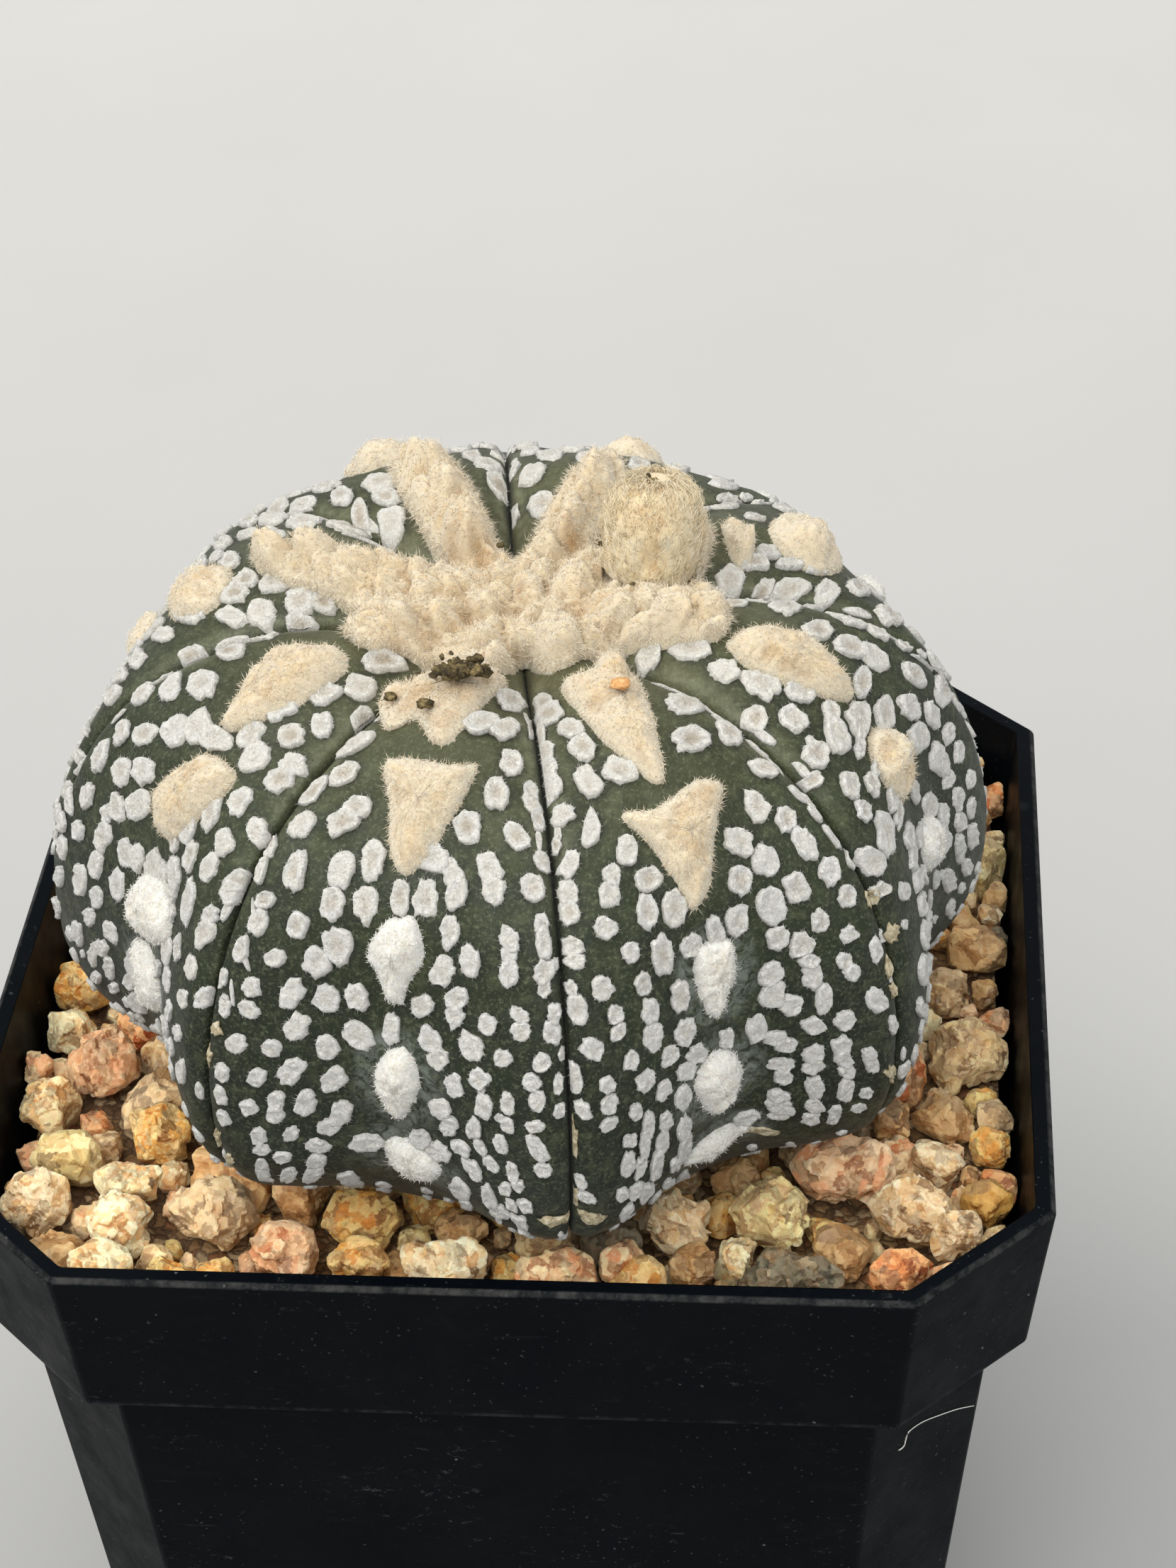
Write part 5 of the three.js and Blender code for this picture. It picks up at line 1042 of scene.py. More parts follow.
def tuft_shape(name, thick, flat, seed, white):
    rng = np.random.default_rng(seed)
    q = np.array(flat, float).reshape(-1, 2)
    m = q.mean(0)
    P0, e1, e2, nrm, ra, rl = skin_frame(m[0], m[1])
    q = (q - m) * [ra, rl]
    unseen = 0 < m[0] < 160 and m[1] < 45
    COUNT, RINGS = (48, 11) if unseen else (76, 15)
    o = smooth_outline(q, COUNT)
    mid = o.mean(0)
    o = mid + (o - mid) * (1.09 if white else 1.04)
    tang = np.arctan2(*(o - mid).T[::-1])
    wob = 0.10 * vnoise(np.stack([o[:, 0], o[:, 1], np.full(COUNT, seed)], -1), 0.55, seed) + rng.normal(0, 0.035, COUNT)
    o = o + unit(o - mid) * wob[:, None]
    f = np.concatenate([[1.02, 1.0, 0.975], np.linspace(0.94, 0.04, RINGS - 3)])
    XY = mid + (o - mid)[None] * f[:, None, None]
    dist = np.min(np.linalg.norm(XY.reshape(-1, 1, 2) - o[None], axis=-1), 1).reshape(len(f), COUNT)
    dist[0] = 0
    H = thick * 1.05
    prof = (1 - np.exp(-((dist / 0.42) ** 0.95))) * (0.62 + 0.38 * (1 - np.exp(-((dist / 1.5) ** 1.5))))
    X3 = np.concatenate([XY, np.full((*XY.shape[:2], 1), float(seed))], -1)
    inside = 1 - np.exp(-((dist / 0.3)))
    lumps = 0.26 * fbm(X3, 1.6, seed + 3, 2) + 0.22 * np.abs(fbm(X3, 0.75, seed + 7, 2)) + 0.04 * fbm(X3, 0.24, seed + 9, 2)
    ball = np.zeros(dist.shape)
    for ba, bl, br, bh in TUFT_BALLS.get(name, ()):
        c = (np.array([ba, bl]) - m) * [ra, rl]
        ball = np.maximum(ball, bh * np.sqrt(np.maximum(0, 1 - (np.linalg.norm(XY - c, axis=-1) / br) ** 2)))
    lift = H * 0.88 * prof + ball + lumps * H * 0.62 * inside + rng.normal(0, 0.03, dist.shape) * inside
    lift[0] = -0.2
    lift[1] = 0.06
    az, la = m[0] + XY[..., 0] / ra, m[1] + XY[..., 1] / rl
    V = skin(az, la, lift, False)
    top = skin(m[0] + mid[0] / ra, m[1] + mid[1] / rl, float(lift[-1].mean()), False)
    n, R = COUNT, len(f)
    i = np.arange(n)
    j = (i + 1) % n
    s = Shape()
    warm = smooth(dist, 0.3, 1.5) * (0.30 if white else 0.70) * (0.62 + 0.7 * vnoise(X3, 1.3, seed + 5))
    # painted shade where the lumps dip
    dip = smooth(-lumps, -0.06, 0.14) * smooth(dist, 0.2, 0.8) * (0.12 if white else 0.38)
    if white:
        dip = dip * 0.5
    # the felt is darker round the old flower
    darker_round_flower = smooth(np.linalg.norm(V - REMAINS, axis=-1), 3.4, 1.2) * (0.55 + 0.45 * vnoise(X3, 0.8, 77))
    dip = np.maximum(dip, 0.8 * darker_round_flower)
    F = [ring_faces(R, n), np.stack([(R - 1) * n + i, (R - 1) * n + j, np.full(n, R * n)], -1), np.arange(n)[::-1][None]]
    s.add(np.concatenate([V.reshape(-1, 3), top[None]]), F,
          tone=np.clip(np.concatenate([warm.ravel(), [warm[-1].mean()]]), 0, 1), hollow=np.clip(np.concatenate([dip.ravel(), [0]]), 0, 1))
    # loose fibres: a fringe round the edge, and short ones all over
    area = 0.5 * abs(np.sum(o[:, 0] * np.roll(o[:, 1], -1) - o[:, 1] * np.roll(o[:, 0], -1)))
    thin = 0.22 if unseen else 0.57
    for part, count, ln, r, K in (("rim", int((70 + 10 * np.sqrt(area)) * thin), (0.3, 0.6) if white else (0.35, 0.85), 0.018, 3), ("rim", int((320 + 50 * np.sqrt(area)) * thin), (0.2, 0.42) if white else (0.25, 0.62), 0.025, 2),
                                  ("top", int((34 * area + 50) * thin), (0.2, 0.42) if white else (0.28, 0.62), 0.027, 2), ("top", int((1.4 * area + 6) * thin), (0.35, 0.75), 0.018, 3)):
        a = rng.integers(1, 4, count) if part == "rim" else np.clip((2 + (R - 2) * (1 - np.sqrt(rng.random(count)))).astype(int), 2, R - 1)
        b = rng.integers(0, COUNT, count)
        root = V[a, b] + rng.normal(0, 0.05, (count, 3))
        outw = unit(V[np.maximum(a - 1, 0), b] - V[np.minimum(a + 2, R - 1), b] + 1e-6)
        k = 0.75 if part == "rim" else 0.3
        d0 = unit(outw * k + nrm * (0.12 if part == "rim" else 0.28) + rng.normal(0, 0.45, (count, 3)))
        d1 = unit(d0 + rng.normal(0, 0.55, (count, 3)))
        L = rng.uniform(*ln, (count, 1))
        pts = [root, root + d0 * L] if K == 2 else [root, root + d0 * L * 0.5, root + d0 * L * 0.5 + d1 * L * 0.5]
        HV, HF, hm = hairs(np.stack(pts, 1), r if K == 2 else [r, r * 0.8], seed + 40)
        s.add(HV, HF, 1, tone=np.repeat(rng.uniform(0, 0.3 if white else 0.6, count), hm), hollow=0.0)
    return s


THREAD = [(37.09, -29.26, 56.94), (35.82, -30.69, 58.00), (34.51, -32.14, 58.76), (33.11, -33.67, 59.53), (32.33, -34.44, 59.58), (31.82, -34.95, 59.49), (31.68, -34.94, 58.59), (31.59, -34.90, 57.85), (31.11, -35.40, 57.91)]
BUD_R, BUD_H = 3.95, 8.9
BUD_FOOT = skin(15.5, 72.6, 0.5, False) + np.array([0, 0, 0.5])
BUD_AXIS = unit(np.array([0.1, 0.12, 1.0]))
REMAINS = skin(258.5, 69.5, 2.5, False)


def crown_shape():
    """The crown's felt as an even net over a flat chart of the plant's top: pads and balls with room for the bud."""
    rng = np.random.default_rng(77)
    mmdeg = PLANT_A * np.pi / 180
    arms = np.array(ARMS, float)
    az = np.arange(0, 360, 0.4)
    reach = np.interp(az, arms[:, 0], arms[:, 1], period=360)
    for _ in range(3):
        reach = 0.5 * reach + 0.25 * np.roll(reach, 2) + 0.25 * np.roll(reach, -2)
    ring = (90 - reach) * mmdeg
    way = np.stack([np.cos(np.radians(az)), np.sin(np.radians(az))], -1)
    E3 = np.concatenate([way * ring[:, None], np.zeros((len(az), 1))], -1)
    ring = ring + 0.30 * vnoise(E3, 2.0, 5) + 0.24 * vnoise(E3, 0.9, 6) + 0.10 * vnoise(E3, 0.4, 7)
    loop = way * ring[:, None]
    loop = np.vstack([loop, loop[:1]])
    run = np.concatenate([[0], np.cumsum(np.hypot(*np.diff(loop, axis=0).T))])
    t = np.arange(0, run[-1], 0.14)
    edge = np.stack([np.interp(t, run, loop[:, 0]), np.interp(t, run, loop[:, 1])], -1)
    step = 0.17
    k = np.arange(-155, 156) * step
    X, Y = np.meshgrid(k, k, indexing="ij")
    rr = np.hypot(X, Y)
    az_all = np.degrees(np.arctan2(Y, X)) % 360
    wide = np.max([np.roll(ring, j) for j in range(-9, 10)], 0) + 0.4
    pick = rr < np.interp(az_all, az, wide, period=360)
    C = np.stack([X[pick], Y[pick]], -1)
    dist = np.concatenate([np.min(np.linalg.norm(part[:, None] - edge[None], axis=-1), 1) for part in np.array_split(C, 40)])
    dist = np.where(rr[pick] < np.interp(az_all[pick], az, ring, period=360), dist, -dist)
    ids = np.full(X.shape, -1)
    keep = dist > -0.26
    where = np.argwhere(pick)[keep]
    ids[where[:, 0], where[:, 1]] = np.arange(keep.sum())
    XY, dist = C[keep], dist[keep]
    Q = np.stack([ids[:-1, :-1], ids[1:, :-1], ids[1:, 1:], ids[:-1, 1:]], -1).reshape(-1, 4)
    Q = Q[(Q >= 0).all(1)]
    used, Q = np.unique(Q, return_inverse=True)
    Q = Q.reshape(-1, 4)
    XY, dist = XY[used], dist[used]

    # felt balls, in two ranks about the sunken middle and along each arm: those that show, then more between them
    def chart(rows):
        p = np.radians(rows[:, 0])
        return np.stack([np.cos(p), np.sin(p)], -1) * ((90 - rows[:, 1]) * mmdeg)[:, None]

    told = parse(BALLS)
    balls = [(*c, r, h * 1.25) for c, (_, _, r, h) in zip(chart(told), told)]
    hollows = parse(HOLLOWS)
    hc = chart(hollows)
    tries = 0
    while tries < 3000 and len(balls) < 85:
        tries += 1
        i = rng.integers(0, len(XY))
        if dist[i] < 0.8:
            continue
        c = XY[i] + rng.normal(0, 0.2, 2)
        r = rng.uniform(0.75, 1.3)
        if all(np.hypot(*(c - b[:2])) > 0.8 * (b[2] + r) for b in balls) and (np.linalg.norm(hc - c, axis=1) > hollows[:, 2] + 0.5 * r).all():
            balls.append((*c, r, rng.uniform(0.55, 1.0)))
    balls = np.array(balls)
    X3 = np.concatenate([XY, np.zeros((len(XY), 1))], -1)
    warped = XY + 0.32 * np.stack([vnoise(X3, 0.9, 31), vnoise(X3, 0.9, 32)], -1)
    dd = np.linalg.norm(warped[:, None, :] - balls[:, :2], axis=-1) / balls[:, 2]
    cap = (np.sqrt(np.maximum(1 - dd**2, 0)) * balls[:, 3]).max(-1)
    rr = np.linalg.norm(XY, axis=-1)
    body = 1.1 + 0.35 * smooth(rr, 3.5, 8.0)
    q = np.clip(dist / 0.9, 0, 1)
    prof = 0.62 * np.sqrt(1 - (1 - q) ** 2) + 0.38 * smooth(dist, 0.4, 2.4)
    inside = 1 - np.exp(-np.maximum(dist, 0) / 0.3)
    puff = 0.55 * np.abs(vnoise(X3, 1.5, 41)) + 0.42 * np.abs(vnoise(X3, 0.8, 42)) + 0.14 * np.abs(vnoise(X3, 0.42, 43)) + 0.05 * vnoise(X3, 0.26, 44)
    lift = body * prof + (cap * 0.95 + puff * 0.8 + rng.normal(0, 0.018, len(XY))) * inside
    # painted shade: tan between the balls, where the puffs dip, and deepest in the listed hollows, which are also sunk
    hollow = smooth(0.35 - cap, 0.0, 0.35) * smooth(dist, 0.5, 1.2) * (0.6 + 0.4 * vnoise(X3, 1.6, 50)) * 0.85 * smooth(puff, 0.46, 0.14)
    for c, (_, _, size, deep) in zip(hc, hollows):
        near = np.exp(-((np.linalg.norm(warped - c, axis=-1) / (size * 1.15)) ** 2))
        hollow = np.maximum(hollow, deep * near)
        lift = lift - near * deep * 0.9
    lift = np.where(dist <= 0, -0.3, np.maximum(lift, 0.05))

    def place(xy, up):
        return skin(np.degrees(np.arctan2(xy[:, 1], xy[:, 0])), 90 - np.hypot(xy[:, 0], xy[:, 1]) / mmdeg, up, False)

    V = place(XY, lift)
    # room for the bud: what lies inside its foot is pressed down
    rel = V - BUD_FOOT
    h = rel @ BUD_AXIS
    rad = rel - h[:, None] * BUD_AXIS
    push = (np.linalg.norm(rad, axis=-1) < BUD_R * 0.9) & (h > -1.5)
    V = np.where(push[:, None], V - BUD_AXIS * np.maximum(0, h + 0.2)[:, None], V)
    # warmer inward and at random; the ball tops are painted paler, a painted highlight
    warm = (0.50 + 0.4 * vnoise(X3, 2.2, 51)) * smooth(dist, 0.1, 1.4) * (1 - 0.45 * np.clip(cap, 0, 1))
    tri_n = np.cross(V[Q[:, 2]] - V[Q[:, 0]], V[Q[:, 3]] - V[Q[:, 1]])
    N = np.zeros_like(V)
    for c in range(4):
        np.add.at(N, Q[:, c], tri_n)
    N = unit(N)
    # one closed skin: the net's rim runs down to a point inside the plant
    pairs = np.concatenate([Q[:, [c, (c + 1) % 4]] for c in range(4)])
    code = pairs[:, 0] * len(V) + pairs[:, 1]
    rim = pairs[~np.isin(code, pairs[:, 1] * len(V) + pairs[:, 0])]
    F = [Q, np.stack([rim[:, 1], rim[:, 0], np.full(len(rim), len(V))], -1)]
    s = Shape()
    s.add(np.concatenate([V, skin(0, 90, -2.5, False)[None]]), F, tone=np.clip(np.append(warm, 0.5), 0, 1), hollow=np.clip(np.append(hollow, 0), 0, 1))
    # loose fibres: a fringe along the rim, short fuzz and long wisps all over
    open_ = ~push
    rims = np.flatnonzero((dist > 0.02) & (dist < 0.4) & open_)
    tops = np.flatnonzero((dist > 0.25) & open_)
    ends = edge[np.array([np.linalg.norm(edge - c, axis=1).argmin() for c in XY[rims]])]
    fling = unit(place(XY[rims] + 0.3 * unit(ends - XY[rims]), 0.0) - place(XY[rims], 0.0))
    outw = np.zeros_like(V)
    outw[rims] = fling
    for pool, count, ln, r, K, o, n_, w in ((rims, 4600, (0.3, 0.9), 0.025, 2, 0.8, 0.35, 0.45), (rims, 400, (0.5, 1.2), 0.018, 3, 0.8, 0.4, 0.45),
                                            (tops, 10500, (0.35, 0.85), 0.027, 2, 0.0, 0.6, 0.6), (tops, 700, (0.6, 1.2), 0.018, 3, 0.0, 0.6, 0.6)):
        i = pool[rng.integers(0, len(pool), count)]
        root = V[i] + rng.normal(0, 0.05, (count, 3)) - N[i] * 0.03
        d0 = unit(outw[i] * o + N[i] * n_ + rng.normal(0, w, (count, 3)))
        d1 = unit(d0 + rng.normal(0, 0.55, (count, 3)))
        Ln = rng.uniform(*ln, (count, 1))
        pts = [root, root + d0 * Ln] if K == 2 else [root, root + d0 * Ln * 0.5, root + (d0 + d1) * Ln * 0.5]
        HV, HF, hm = hairs(np.stack(pts, 1), r if K == 2 else [r, r * 0.8], 91)
        # each fibre takes some of the painted shade of the felt it grows from
        s.add(HV, HF, 1, tone=np.repeat(np.clip(warm[i] + rng.uniform(-0.2, 0.4, count), 0, 1), hm), hollow=np.repeat(0.6 * hollow[i].clip(0, 1), hm))
    return s


def bud_shape():
    rng = np.random.default_rng(5)
    u = unit(np.cross(BUD_AXIS, [0, 1, 0]))
    w = np.cross(BUD_AXIS, u)
    prof = np.array([[0.70, 0], [0.90, 0.10], [0.98, 0.25], [1, 0.42], [0.98, 0.58], [0.92, 0.72], [0.82, 0.84], [0.60, 0.94], [0.30, 0.99]])
    n, R = 110, 48
    t = np.linspace(0, 1, R)
    rr = np.interp(t, np.linspace(0, 1, len(prof)), prof[:, 0]) * (BUD_R - 0.34)
    hh = np.interp(t, np.linspace(0, 1, len(prof)), prof[:, 1]) * (BUD_H - 0.42)
    th = np.linspace(0, 2 * np.pi, n, endpoint=False)
    D = np.cos(th)[:, None] * u + np.sin(th)[:, None] * w
    P = BUD_FOOT + hh[:, None, None] * BUD_AXIS + rr[:, None, None] * D[None]
    sway = P + 0.45 * np.stack([vnoise(P, 1.6, 65), vnoise(P, 1.6, 66), 0 * P[..., 0]], -1)
    strand = vnoise(sway * [1, 1, 0.22], 0.42, 62) + 0.6 * vnoise(sway * [1, 1, 0.3], 0.24, 67)
    no = 0.18 * fbm(P, 1.9, 61, 2) + 0.06 * strand
    P = P + D[None] * no[..., None]
    top = BUD_FOOT + (BUD_H - 0.42) * BUD_AXIS
    s = Shape()
    i = np.arange(n)
    j = (i + 1) % n
    tone = 0.5 + 0.5 * vnoise(P * [1, 1, 0.4], 1.0, 63)
    # tan at random, and painted shade in the grooves between the strands
    hol = smooth(vnoise(P * [1, 1, 0.5], 0.9, 64), 0.0, 0.6) * 0.35 + 0.25 * smooth(-strand, 0.1, 0.7)
    s.add(np.concatenate([P.reshape(-1, 3), top[None]]), [ring_faces(R, n), np.stack([(R - 1) * n + i, (R - 1) * n + j, np.full(n, R * n)], -1), np.arange(n)[::-1][None]],
          tone=np.concatenate([tone.ravel(), [0.6]]), hollow=np.concatenate([hol.ravel(), [0.3]]))
    # long soft hairs, laid up the barrel and curling over its top
    N = 2500
    a = (R * rng.random(N) ** 0.9).astype(int).clip(0, R - 1)
    b = rng.integers(0, n, N)
    root = P[a, b] - D[b] * 0.05
    L = rng.uniform(0.9, 2.6, (N, 1)) * (1 - 0.35 * t[a])[:, None]
    side = np.cross(BUD_AXIS, D[b])
    d = unit(BUD_AXIS * rng.uniform(0.7, 1.0, (N, 1)) + D[b] * rng.uniform(0.10, 0.5, (N, 1)) + side * rng.normal(0, 0.24, (N, 1)))
    pts = [root]
    slack = np.where(rng.random(N) < 0.06, 0.8, rng.uniform(0.0, 0.35, N))
    for k in range(3):
        d = unit(d + rng.normal(0, 0.24, (N, 3)) - D[b] * 0.05 * k - (pts[-1] - BUD_FOOT - BUD_AXIS * BUD_H * 0.4) * 0.015 * k)
        nxt = pts[-1] + d * L / 3
        # the coat follows the barrel and closes over its top; a few hairs stray
        rel = nxt - BUD_FOOT
        hgt = rel @ BUD_AXIS
        rad = rel - hgt[:, None] * BUD_AXIS
        q = np.linalg.norm(rad, axis=1) + 1e-9
        lim = np.interp(hgt / BUD_H, prof[:, 1], prof[:, 0]) * BUD_R + 0.05 + slack
        nxt = np.where((q > lim)[:, None], BUD_FOOT + hgt[:, None] * BUD_AXIS + rad / q[:, None] * lim[:, None], nxt)
        over = np.maximum(0, hgt - (BUD_H - 0.25 + slack))
        nxt = nxt - BUD_AXIS * over[:, None] * 0.9
        pts.append(nxt)
    path = np.stack(pts, 1)
    HV, HF, hm = hairs(path, [0.026, 0.025, 0.019], 70)
    s.add(HV, HF, 1, tone=np.repeat(rng.uniform(0.1, 1.0, N), hm), hollow=np.repeat(rng.uniform(0, 0.5, N) ** 1.5, hm))
    return s


def lump_shape(centre, size, seed, n=28, r=18, noise=0.22, cell=0.8):
    th = np.linspace(0, 2 * np.pi, n, endpoint=False)
    ph = np.linspace(-np.pi / 2, np.pi / 2, r + 2)[1:-1]
    D = np.stack([np.cos(ph)[:, None] * np.cos(th), np.cos(ph)[:, None] * np.sin(th), np.repeat(np.sin(ph)[:, None], n, 1)], -1)
    amp = 1 + noise * fbm(D * np.array(size), cell, seed, 3)
    P = np.asarray(centre) + D * np.array(size) * amp[..., None]
    i = np.arange(n)
    j = (i + 1) % n
    V = np.concatenate([P.reshape(-1, 3), (np.asarray(centre) + [0, 0, size[2]])[None], (np.asarray(centre) - [0, 0, size[2]])[None]])
    F = [ring_faces(r, n), np.stack([(r - 1) * n + i, (r - 1) * n + j, np.full(n, r * n)], -1), np.stack([j, i, np.full(n, r * n + 1)], -1)]
    return V, F


def remains_shape():
    """Shrivelled petals and stamens of an old flower, crumbled to a brown tangle."""
    rng = np.random.default_rng(8)
    s = Shape()
    _, e1, e2, nrm, _, _ = skin_frame(258.5, 69.5)
    for k in range(19):
        at = REMAINS + e1 * rng.normal(0, 0.75) + e2 * rng.normal(-0.1, 0.6) + nrm * rng.uniform(-0.3, 0.3)
        V, F = lump_shape(at, (rng.uniform(0.35, 0.8), rng.uniform(0.3, 0.6), rng.uniform(0.25, 0.5)), 30 + k, 16, 9, 0.5, 0.4)
        s.add(V, F)
    for k in range(26):  # curled petal ends, each a thin closed strip
        a = rng.uniform(0, 6.28)
        d = unit(e1 * math.cos(a) + e2 * math.sin(a) + nrm * rng.uniform(-0.3, 0.4))
        side = unit(np.cross(nrm, d))
        L, W = rng.uniform(0.3, 0.7), rng.uniform(0.06, 0.18)
        start = REMAINS + e1 * rng.normal(0, 0.65) + e2 * rng.normal(0, 0.45) + nrm * rng.uniform(-0.2, 0.2)
        st = np.linspace(0, 1, 6)
        mid = start + np.outer(st * L, d) + np.outer(np.sin(st * rng.uniform(1.5, 3.2)) * rng.uniform(0.05, 0.3), nrm) + np.outer(st**2 * rng.normal(0, 0.3), side)
        wid = W * np.sin(np.pi * (0.18 + 0.82 * st)) + 0.03
        ring = np.stack([mid + wid[:, None] * side, mid + 0.045 * nrm, mid - wid[:, None] * side, mid - 0.045 * nrm], 1)
        ring = ring + rng.normal(0, 0.025, ring.shape)
        s.add(ring.reshape(-1, 3), [ring_faces(6, 4), np.array([[3, 2, 1, 0]]), np.array([[20, 21, 22, 23]])])
    return s


def nub_shape():
    """The dry orange-tan scar at the top of one front tuft."""
    P, e1, e2, nrm, _, _ = skin_frame(302.7, 64.4)
    V, F = lump_shape([0, 0, 0], (0.72, 0.62, 0.30), 5, 40, 20, 0.22, 0.35)
    at = skin(302.7, 64.4, 1.85, False)
    return Shape().add(at + V[:, :1] * e1 + V[:, 1:2] * e2 + V[:, 2:] * nrm, F)


def debris_shape():
    """Specks of dry matter caught in the crown's felt, and the brown threads beside the old flower."""
    rng = np.random.default_rng(31)
    s = Shape()
    spots = [(252.2, 63.2, 1.5, 0.6), (256.5, 67.5, 2.8, 0.5), (111.5, 83.5, 3.3, 0.3), (29.0, 78.5, 3.2, 0.35), (348.0, 75.5, 3.0, 0.25), 
             (239.8, 64.0, 1.45, 0.5), (249, 68.5, 1.9, 0.35), (241.5, 69.5, 1.7, 0.35), (261.5, 69.5, 2.6, 0.3)]
    for k, (az, la, lift, size) in enumerate(spots):
        V, F = lump_shape(skin(az, la, lift, False), (size, size * 0.8, size * 0.55), 90 + k, 16, 9, 0.35, 0.35)
        s.add(V, F)
    tip = BUD_FOOT + BUD_AXIS * (BUD_H - 0.25)
    for k in range(5):
        V, F = lump_shape(tip + np.array([rng.normal(-0.4, 0.3), rng.normal(-0.9, 0.35), rng.normal(0.0, 0.12)]), (0.24, 0.16, 0.24), 120 + k, 14, 8, 0.35, 0.3)
        s.add(V, F)
    N = 9
    a = rng.uniform(240, 262, N)
    l = rng.uniform(61, 70, N)
    root = skin(a, l, 1.9, False)
    d = unit(rng.normal(0, 1, (N, 3)) + [0, -0.3, 0.4])
    L = rng.uniform(0.6, 1.3, (N, 1))
    bend = rng.normal(0, 0.3, (N, 3))
    path = np.stack([root, root + d * L * 0.33 + bend * 0.2, root + d * L * 0.66 + bend * 0.5, root + d * L + bend * 0.7], 1)
    HV, HF, _ = hairs(path, [0.032, 0.03, 0.024], 3)
    s.add(HV, HF)
    return s


def thread_shape():
    """A pale thread that clings to the pot under its band, front right."""
    P = np.array(THREAD)
    t = np.linspace(0, len(P) - 1, 25)
    path = np.stack([np.interp(t, np.arange(len(P)), P[:, c]) for c in range(3)], -1)
    for _ in range(2):
        path[1:-1] = (path[:-2] + 2 * path[1:-1] + path[2:]) / 4
    HV, HF, _ = hairs(path[None], np.linspace(0.045, 0.075, 24)[None], 4)
    return Shape().add(HV, HF)


# ------------------------------------------------------------------ stones
def icosphere(level):
    bm = bmesh.new()
    bmesh.ops.create_icosphere(bm, subdivisions=level, radius=1.0)
    V = np.array([v.co[:] for v in bm.verts])
    F = np.array([[v.index for v in f.verts] for f in bm.faces])
    bm.free()
    return unit(V), F


def geodesic(f):
    """A unit sphere of 20 f squared triangles."""
    V0, F0 = icosphere(1)
    pts, faces = {}, []
    for tri in F0:
        a, b, c = V0[tri]
        at = {}
        for i in range(f + 1):
            for j in range(f + 1 - i):
                key = tuple(np.round(unit((a * (f - i - j) + b * i + c * j) / f), 5) + 0.0)
                at[i, j] = pts.setdefault(key, len(pts))
        for i in range(f):
            for j in range(f - i):
                faces.append((at[i, j], at[i + 1, j], at[i, j + 1]))
                if i + j < f - 1:
                    faces.append((at[i + 1, j], at[i + 1, j + 1], at[i, j + 1]))
    return unit(np.array(list(pts))), np.array(faces)


ICO = {k: geodesic(k) for k in (4, 7, 9, 14)}


def planes_of(node):
    """Outward normals and distances of a CAD node's flat faces, from its own middle."""
    me = NODES[node].data
    co = np.array([v.co[:] for v in me.vertices]) / MM
    c = (co.min(0) + co.max(0)) / 2
    N, H, A = [], [], []
    for p in me.polygons:
        n = np.array(p.normal[:])
        h = float(n @ (co[p.vertices[0]] - c))
        for i in range(len(N)):
            if n @ N[i] > 0.995 and abs(h - H[i]) < 0.05:
                A[i] += p.area
                break
        else:
            N.append(n)
            H.append(h)
            A.append(p.area)
    return c, np.array(N), np.array(H)


def grind(c, N, H, level, seed, rough=1.0, sharp=52.0):
    """A broken stone inside the given planes: chipped, then split into crystal faces that each lie their own way."""
    D, F = ICO[level]
    rng = np.random.default_rng(seed)
    H = np.maximum(H, 0.25)
    size = float(np.median(H))
    # a few large breaks take off its roundness
    for _ in range(7):
        d = unit(rng.normal(0, 1, 3))
        N = np.vstack([N, d])
        H = np.append(H, (1 / max((np.maximum(N[:-1] @ d, 0) / H).max(), 1e-6)) * rng.uniform(0.84, 0.97))
    q = np.maximum(D @ N.T, 0) / H
    r = np.minimum(((q**sharp).sum(1)) ** (-1 / sharp), 1 / np.maximum(q.max(1), 1e-6))
    own = q.argmax(1)
    P = D * r[:, None]
    bent = P + 0.10 * size * np.stack([vnoise(P + seed * 1.7, size * 0.35, k) for k in (1, 2, 3)], -1)
    # cav marks where the painted shade goes: the crevices between faces and where they are cut in
    cav = np.zeros(len(P))
    for count, deep, tilt, lowest in ((13, 0.15 * rough, 0.50, 0.80), (60, 0.05 * rough, 0.50, 0.90)):
        count = min(count, len(P) // 6)
        pick = rng.choice(len(P), count, replace=False)
        Q = P[pick] * (1 - rng.uniform(0, deep, (count, 1)))
        m = unit(N[own[pick]] + rng.normal(0, tilt * rough * 0.6, (count, 3)))
        d = np.linalg.norm(bent[:, None] - bent[pick][None], axis=-1)
        o = np.argsort(d, 1)[:, :2]
        near, nxt = np.take_along_axis(d, o, 1).T
        o = o[:, 0]
        k = np.clip((m[o] * Q[o]).sum(1) / np.maximum((m[o] * P).sum(1), 0.05 * size), lowest, 1.0)
        cav = np.maximum(cav, 0.6 * smooth(nxt - near, 0.12 * size, 0.0) + 0.7 * smooth(k, 0.95, lowest))
        P = P * k[:, None]
    P = P * (1 - 0.012 * rough * (1 + vnoise(P + seed, size * 0.16, 7)))[:, None]
    return c + P, F, np.clip(cav, 0, 1)


def wall_planes(c):
    """The pot's inner wall, seen from a stone's middle."""
    n = [(1, 0), (-1, 0), (0, 1), (0, -1)]
    N = [np.array([x, y, 0.0]) for x, y in n]
    H = [inner_half(c[2]) - 0.15 - float(k[:2] @ c[:2]) for k in N]
    h = inner_half(c[2]) - 0.15
    leg = 9.9 - 0.9 + 0.55 * (c[2] - 65.6) / 14.4
    for x in (1, -1):
        for y in (1, -1):
            k = np.array([x, y, 0.0]) / math.sqrt(2)
            N.append(k)
            H.append((2 * h - leg) / math.sqrt(2) - float(k[:2] @ c[:2]))
    return N, H


